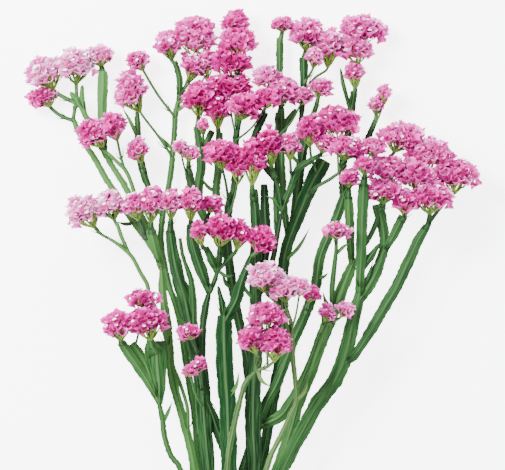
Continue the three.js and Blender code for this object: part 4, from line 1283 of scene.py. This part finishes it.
@dataclass
class BractComb:
    """The pointed green scales and short stalks under a flower head."""

    head: Head
    foot: np.ndarray
    scales: int = 40
    stalks: int = 13
    stalk_radii: Span = (0.5 * MM, 0.6 * MM)
    stalk_step: float = 3 * MM
    stalk_lowest: float = -0.86
    stalk_rise: float = 0.75
    stalk_reach: float = 0.8
    stalk_bow: float = 0.8
    scale_length: float = 4.6 * MM
    scale_width: float = 1.9 * MM
    scale_out: float = 0.9
    scale_down: float = 0.42
    scale_reach: float = 0.92
    scale_first: float = 0.3
    scale_crowding: float = 0.7
    scale_lean: float = 0.5
    scale_back: float = 2 * MM
    scale_scatter: float = 0.5
    scale_tones: Span = (-0.14, 0.14)
    keel: float = 0.45

    # share of the length, share of the width and bulge in millimetres
    SCALE = ((0.0, 0.5, 0.0), (0.35, 1.0, 0.5), (0.7, 0.72, 0.4), (1.0, 0.05, -0.1))

    def draw(self, draft: Draft, tone: float) -> None:
        """Adds the comb to a draft.

        Args:
            draft: The mesh to add to.
            tone: A shift of tone.
        """
        head = self.head
        side, over = frame_round(head.up)
        for index in range(self.stalks):
            rise = self.stalk_lowest + self.stalk_rise * (index + 0.5) / self.stalks
            level = math.sqrt(1 - rise * rise)
            direction = around(side, over, index * GOLDEN_ANGLE, level) + head.up * rise
            tip = head.middle + direction * head.reach(direction) * self.stalk_reach
            bow = (direction - head.up * rise) * self.stalk_bow * MM
            stalk = np.array([self.foot, self.foot + (tip - self.foot) * 0.5 + bow, tip])
            Twig(smooth_line(stalk, self.stalk_step), *self.stalk_radii).draw(draft, tone)
        for index in range(self.scales):
            share = (index + 0.5) / self.scales
            turn = index + head.rng.random() * self.scale_scatter
            out = around(side, over, turn * GOLDEN_ANGLE)
            direction = unit(out * self.scale_out - head.up * self.scale_down)
            edge = head.middle + direction * head.reach(direction) * self.scale_reach
            height = self.scale_first + (1 - self.scale_first) * share**self.scale_crowding
            root = self.foot + (edge - self.foot) * height
            lean = unit(unit(edge - self.foot) + head.up * self.scale_lean)
            shift = head.rng.uniform(*self.scale_tones)
            self._scale(draft, root - lean * self.scale_back, lean, out, tone + shift)

    def _scale(
        self, draft: Draft, root: np.ndarray, lean: np.ndarray, out: np.ndarray, tone: float
    ) -> None:
        """Adds one boat-shaped, pointed scale.

        Args:
            draft: The mesh to add to.
            root: Where it is rooted.
            lean: Where it points.
            out: The direction away from the head's middle.
            tone: A shift of tone.
        """
        cross = unit(np.cross(lean, out))
        outward = np.cross(cross, lean)
        hands = (-1, 0, 1)
        points = []
        for share, wide, bulge in self.SCALE:
            spine = root + lean * self.scale_length * share
            for hand in hands:
                lift = outward * (bulge - self.keel * abs(hand)) * MM
                points.append(spine + cross * hand * wide * self.scale_width / 2 + lift)
        corners = [row * 3 + column for row in range(len(self.SCALE) - 1) for column in range(2)]
        faces = [(here, here + 1, here + 4, here + 3) for here in corners]
        draft.add(np.array(points), faces, np.tile(hands, len(self.SCALE)).astype(float), tone)


@dataclass
class Spray:
    """One cut stem with its limbs, leaflets, twigs and bract combs."""

    name: str
    stem_step: float = 2.0 * MM
    twig_step: float = 3.0 * MM
    leaf_step: float = 2.4 * MM
    leaf_rise: float = 2.0
    leaf_tones: Span = (0, 0.2)
    run_tones: Span = (-0.1, 0.1)
    seeds: float = 90
    twig_radii: Span = (1.2 * MM, 1.0 * MM)
    twig_tones: Span = (-0.05, 0.15)
    twig_drop: float = 3.0
    comb_root: float = 1.3
    comb_seat: float = 0.75
    prop_drop: float = 26 * MM
    prop_radii: Span = (1.0 * MM, 0.7 * MM)
    prop_reach: float = 0.7
    prop_root: float = 1.05
    prop_knee: float = 0.55
    prop_sag: float = -0.12
    prop_comb: tuple[int, int] = (14, 5)  # scales and stalks
    stipule_length: Span = (5 * MM, 14 * MM)
    stipule_width: float = 0.9 * MM
    stipule_step: float = 1.2 * MM
    stipule_splay: Span = (0.2, 0.6)
    stipule_rise: float = 0.3
    stipule_curl: float = 0.6
    stipule_tones: Span = (-0.2, 0.1)
    near: float = 11 * MM
    joined: float = 0.8
    neck: float = 3.0
    green: Draft = field(default_factory=Draft)
    comb: Draft = field(default_factory=Draft)
    runs: dict[str, Line] = field(default_factory=dict)
    ends: list[tuple[np.ndarray, float]] = field(default_factory=list)
    heads: list[Head] = field(default_factory=list)

    def __post_init__(self) -> None:
        """Reads the spray's plan."""
        self.plan = SPRAYS[self.name]
        self.rng = random.Random(self.name)

    def nearest(self, spot: Sequence[float], lines: Sequence[Line]) -> np.ndarray:
        """Finds the point of some lines that lies nearest to a spot on the grid.

        Args:
            spot: The grid column and row.
            lines: The lines.

        Returns:
            The point.
        """
        points = np.vstack(lines)
        gap = np.linalg.norm((points - place(spot[0], spot[1], 0))[:, :2], axis=1)
        return points[int(np.argmin(gap))]

    def grow(self) -> None:
        """Grows the runs, then the leaflets, then the heads with their twigs and combs."""
        for run, parent, widths, route in self.plan["runs"]:
            self._run(run, parent, widths, route)
        lines = list(self.runs.values())
        for route in self.plan["leaves"]:
            root = self.nearest(route[0], lines)
            points = self._rooted(route, root, root[2] / MM + self.leaf_rise)
            leaflet = Leaflet(smooth_line(points, self.leaf_step))
            leaflet.draw(self.green, self.rng.uniform(*self.leaf_tones))
        for entry in self.plan["heads"]:
            head = Head.from_plan(entry, self.rng)
            if len(entry) > 4:
                self._carry(head, entry[4], lines)
            else:
                self._prop(head, lines)
            self.heads.append(head)

    def _rooted(self, route: Route, root: np.ndarray, end: float) -> Line:
        """Lays out a route that starts at a point of an older line.

        Args:
            route: The route.
            root: The point.
            end: Height of the last step where it gives none, in millimetres.

        Returns:
            The route's points.
        """
        points = route_points(route, root[2] / MM, end)
        points[0] = root
        return points

    def _run(self, run: str, parent: str | None, widths: Sequence[float], route: Route) -> None:
        """Grows one run with the stipules at its fork.

        Args:
            run: The run's name.
            parent: The run that it forks from, if any.
            widths: Its widths from root to tip, in millimetres.
            route: Its route.
        """
        if parent:
            root = self.nearest(route[0], [self.runs[parent]])
            points = self._rooted(route, root, root[2] / MM)
        else:
            points = route_points(route, 0.0, 0.0)
        line = smooth_line(points, self.stem_step)
        self.runs[run] = line
        tip = None if self._ends_free(route[-1]) else self.joined
        stem = StemRun(line, widths, self.rng.random() * self.seeds, parent is not None, tip)
        # the stem's painted shade and light is added to a random tone
        stem.draw(self.green, STEM_PAINTED_SHADING.get(self.name, 0) + self.rng.uniform(*self.run_tones))
        self.ends.append((line[-1], widths[-1]))
        if parent:
            self._stipules(line)

    def _ends_free(self, spot: Sequence[float]) -> bool:
        """Tells whether no head's twig starts near a run's end.

        Args:
            spot: The grid column and row of the run's end.

        Returns:
            True where none does.
        """
        starts = [entry[4][0] for entry in self.plan["heads"] if len(entry) > 4]
        return all(math.dist(spot[:2], start[:2]) * GRID > self.near for start in starts)

    def _width_at_end(self, root: np.ndarray) -> float:
        """Gives the width in millimetres of the run that ends at a point, or 0 for none."""
        widths = (width for end, width in self.ends if np.linalg.norm((end - root)[:2]) < self.near)
        return next(widths, 0.0)

    def _carry(self, head: Head, route: Route, lines: Sequence[Line]) -> None:
        """Grows the twig and the comb of one head.

        Args:
            head: The head.
            route: The twig's route.
            lines: The runs that it may be rooted on.
        """
        root = self.nearest(route[0], lines)
        points = self._rooted(route, root, head.middle[2] / MM - self.twig_drop)
        head.up = unit(head.middle - points[-1])
        size = head.reach(head.up)
        points[-1] = head.middle - head.up * self.comb_root * size
        foot = head.middle - head.up * self.comb_seat * size
        line = smooth_line(np.vstack([points, foot]), self.twig_step)
        width = self._width_at_end(root)
        if width:
            widths = (width * self.joined, self.neck)
            neck = StemRun(line, widths, self.rng.random() * self.seeds, False, 1)
            neck.draw(self.green, self.rng.uniform(*self.run_tones))
        else:
            Twig(line, *self.twig_radii).draw(self.green, self.rng.uniform(*self.twig_tones))
        self._stipules(line)
        BractComb(head, points[-1]).draw(self.comb, self.rng.uniform(*self.run_tones))

    def _prop(self, head: Head, lines: Sequence[Line]) -> None:
        """Grows a thin stalk to a head that has no twig of its own.

        Args:
            head: The head.
            lines: The runs that it may be rooted on.
        """
        low = head.middle - np.array([0, head.half[1] + self.prop_drop, 0])
        root = self.nearest((low[0] / GRID + ORIGIN_COLUMN, ORIGIN_ROW - low[1] / GRID), lines)
        tip = head.middle - head.up * head.reach(head.up) * self.prop_reach
        sag = np.array([0.0, self.prop_sag * np.linalg.norm(tip - root), 0.0])
        knee = root * (1 - self.prop_knee) + tip * self.prop_knee + sag
        line = smooth_line(np.array([root, knee, tip]), self.twig_step)
        Twig(line, *self.prop_radii).draw(self.green, self.rng.uniform(*self.leaf_tones))
        foot = head.middle - head.up * head.reach(head.up) * self.prop_root
        BractComb(head, foot, *self.prop_comb).draw(self.comb, 0.0)

    def _stipules(self, line: Line) -> None:
        """Adds a pair of slender pointed blades where a run or a twig forks.

        Args:
            line: The young run or twig.
        """
        at = min(2, len(line) - 2)
        root = line[at]
        along, side, over = (directions[at] for directions in frames_along(line))
        for hand in (-1, 1):
            length = self.rng.uniform(*self.stipule_length)
            splay = side * hand * self.rng.uniform(*self.stipule_splay)
            aim = unit(along + splay + over * self.stipule_rise)
            bend = unit(aim + along * self.stipule_curl)
            points = np.array([root, root + aim * length * 0.5, root + (aim + bend) * length * 0.5])
            blade = Leaflet(smooth_line(points, self.stipule_step), self.stipule_width)
            blade.draw(self.green, self.rng.uniform(*self.stipule_tones))

    def dress(self, wardrobe: Wardrobe) -> None:
        """Makes the green pieces.

        Args:
            wardrobe: The materials.
        """
        node = f"stem_{self.name}"
        tone = STEM_TONES.get(self.name, Green.MIDDLE)
        hold(self.green.build(f"winged_{node}", wardrobe.stems[tone], True), [node])
        combs = self.comb.build(f"bract_combs_{self.name}", wardrobe.bract, True)
        hold(combs, [node])


@dataclass
class Bloom:
    """All the florets of the heads that hold together as one bloom."""

    name: str
    heads: list[Head]
    corollas: Draft
    core: float = 0.66
    core_rows: int = 7
    core_columns: int = 12
    core_rise: float = 0.1
    # painted shade: the core is darker than the florets' throats and shows through the gaps between
    # them
    core_painted_shade: float = -0.15
    # painted light: how much paler a bloom's top heads are drawn
    painted_light: float = 0.24
    filled: float = 0.86
    sizes: Span = (0.86, 1.2)
    wobble: float = 0.26
    head_tones: Span = (-0.08, 0.08)
    floret_tones: Span = (-0.3, 0.3)
    corolla_rise: float = 0.9

    def __post_init__(self) -> None:
        """Finds the bloom's tone and its own source of chance."""
        self.tone = BLOOM_TONES.get(self.name, Pink.MIDDLE)
        self.rng = random.Random(f"bloom_{self.name}")

    def dress(
        self, wardrobe: Wardrobe, patterns: Sequence[FloretPattern], star: CorollaPattern
    ) -> None:
        """Makes the pink piece.

        Args:
            wardrobe: The materials.
            patterns: The floret patterns.
            star: The corolla pattern.
        """
        draft = Draft()
        for head in self.heads:
            others = [other for other in self.heads if other is not head]
            shade = BLOOM_SHIFTS.get(self.name, 0) + self.rng.uniform(*self.head_tones)
            # top heads get painted light
            if ORIGIN_ROW - head.middle[1] / GRID < PAINTED_LIGHT_ROWS.get(self.name, 0):
                shade += self.painted_light
            self._core(draft, head)
            for spot, facing in head.seats():
                if any(other.holds(spot, self.filled) for other in others):
                    continue
                size = self.rng.uniform(*self.sizes) * head.floret_size
                sway = np.array([self.rng.uniform(-1, 1) for _ in range(3)])
                aim = unit(facing + self.wobble * sway)
                turn = self.rng.uniform(0, FULL_TURN)
                tone = shade + self.rng.uniform(*self.floret_tones)
                Seat(spot, aim, size, turn).plant(draft, self.rng.choice(patterns), tone)
                if self.rng.random() < COROLLA_AND_HIGHLIGHT_SHARES[self.tone]:
                    inside = spot + aim * self.corolla_rise * MM
                    Seat(inside, unit(aim + facing), size, turn).plant(self.corollas, star, 0.0)
        piece = draft.build(f"florets_{self.name}", wardrobe.petals[self.tone], False)
        hold(piece, [f"bloom_{self.name}"])

    def _core(self, draft: Draft, head: Head) -> None:
        """Adds the dense middle that the florets stand on, drawn darker than their throats as
        painted shade in the gaps.

        Args:
            draft: The mesh to add to.
            head: The head.
        """
        points = []
        for row in range(self.core_rows):
            polar = math.pi * (row + 0.5) / self.core_rows
            level = math.sin(polar)
            for column in range(self.core_columns):
                angle = FULL_TURN * column / self.core_columns
                ring = (level * math.cos(angle), level * math.sin(angle))
                direction = np.array([*ring, math.cos(polar)])
                points.append(head.middle + head.half * direction * self.core)
        faces = tube_faces(self.core_rows, self.core_columns, True)
        draft.add(np.array(points), faces, np.full(len(points), self.core_rise), self.core_painted_shade)


def hold(piece: bpy.types.Object, nodes: Sequence[str]) -> None:
    """Ties a piece to the bunch and the solids that it stands for.

    Args:
        piece: The piece.
        nodes: The solids.
    """
    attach(piece, BODY)
    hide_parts(*nodes)
    LOG.info("%s: %d faces, for %s", piece.name, len(piece.data.polygons), ", ".join(nodes))


@dataclass
class Studio:
    """A plain pale floor, soft light and a camera that looks straight down."""

    distance: float = 4.0
    aim: Span = (-0.0003, 0.0721)
    wide: float = 0.404
    middle_height: float = 0.04
    sensor: float = 36.0
    farthest: float = 50
    floor_size: float = 12.0
    floor_drop: float = 0.4 * MM
    floor_colour: Colour = (0.95, 0.95, 0.95)
    ambient: float = 1.3
    glow: float = 4.4

    # name, place, side and power in watts
    LAMPS = (("key", (-1.1, 0.9, 1.3), 0.8, 130), ("fill", (1.2, -0.7, 1.3), 1.4, 20))

    def build(self) -> None:
        """Sets up the camera, the floor, the lamps and the light from all round."""
        camera = self._link("camera", bpy.data.cameras.new("camera"))
        camera.data.sensor_width = self.sensor
        camera.data.lens = self.sensor * self.distance / self.wide
        camera.data.clip_end = self.farthest
        camera.location = (*self.aim, self.middle_height + self.distance)
        bpy.context.scene.camera = camera
        self._floor()
        for name, spot, size, power in self.LAMPS:
            lamp = self._link(name, bpy.data.lights.new(name, "AREA"))
            lamp.data.size = size
            lamp.data.energy = power
            lamp.location = spot
            lamp.rotation_euler = (-Vector(spot)).to_track_quat("-Z", "Y").to_euler()
        world = bpy.data.worlds.new("studio")
        world.use_nodes = True
        background = world.node_tree.nodes["Background"].inputs
        background["Color"].default_value = (1, 1, 1, 1)
        background["Strength"].default_value = self.ambient
        bpy.context.scene.world = world

    def _link(self, name: str, data: bpy.types.ID) -> bpy.types.Object:
        """Makes an object and puts it in the scene.

        Args:
            name: The object's name.
            data: What it shows.

        Returns:
            The object.
        """
        thing = bpy.data.objects.new(name, data)
        bpy.context.scene.collection.objects.link(thing)
        return thing

    def _floor(self) -> None:
        """Lays the floor just under the bunch."""
        half = self.floor_size / 2
        mesh = bpy.data.meshes.new("floor")
        corners = [(-half, -half, 0), (half, -half, 0), (half, half, 0), (-half, half, 0)]
        mesh.from_pydata(corners, [], [(0, 1, 2, 3)])
        material = bpy.data.materials.new("floor_white")
        material.use_nodes = True
        inputs = material.node_tree.nodes["Principled BSDF"].inputs
        inputs["Base Color"].default_value = (*self.floor_colour, 1)
        inputs["Roughness"].default_value = 1
        inputs["Specular IOR Level"].default_value = 0
        inputs["Emission Color"].default_value = (1, 1, 1, 1)
        inputs["Emission Strength"].default_value = self.glow
        mesh.materials.append(material)
        floor = self._link("floor", mesh)
        floor.location = (0, 0, -self.floor_drop)


def main() -> None:
    """Builds the studio and every piece of the bunch, in order."""
    Studio().build()
    wardrobe = Wardrobe()
    blooms: dict[str, list[Head]] = {}
    for name in SPRAYS:
        spray = Spray(name)
        spray.grow()
        spray.dress(wardrobe)
        for head in spray.heads:
            blooms.setdefault(head.name, []).append(head)
    rng = random.Random("florets")
    patterns = [FloretPattern(rng) for _ in range(FLORET_PATTERNS)]
    star = CorollaPattern()
    corollas = Draft()
    for name, heads in blooms.items():
        Bloom(name, heads, corollas).dress(wardrobe, patterns, star)
    nodes = [f"bloom_{name}" for name in blooms]
    hold(corollas.build("white_corollas", wardrobe.corolla, False), nodes)


if __name__ == "__main__":
    main()
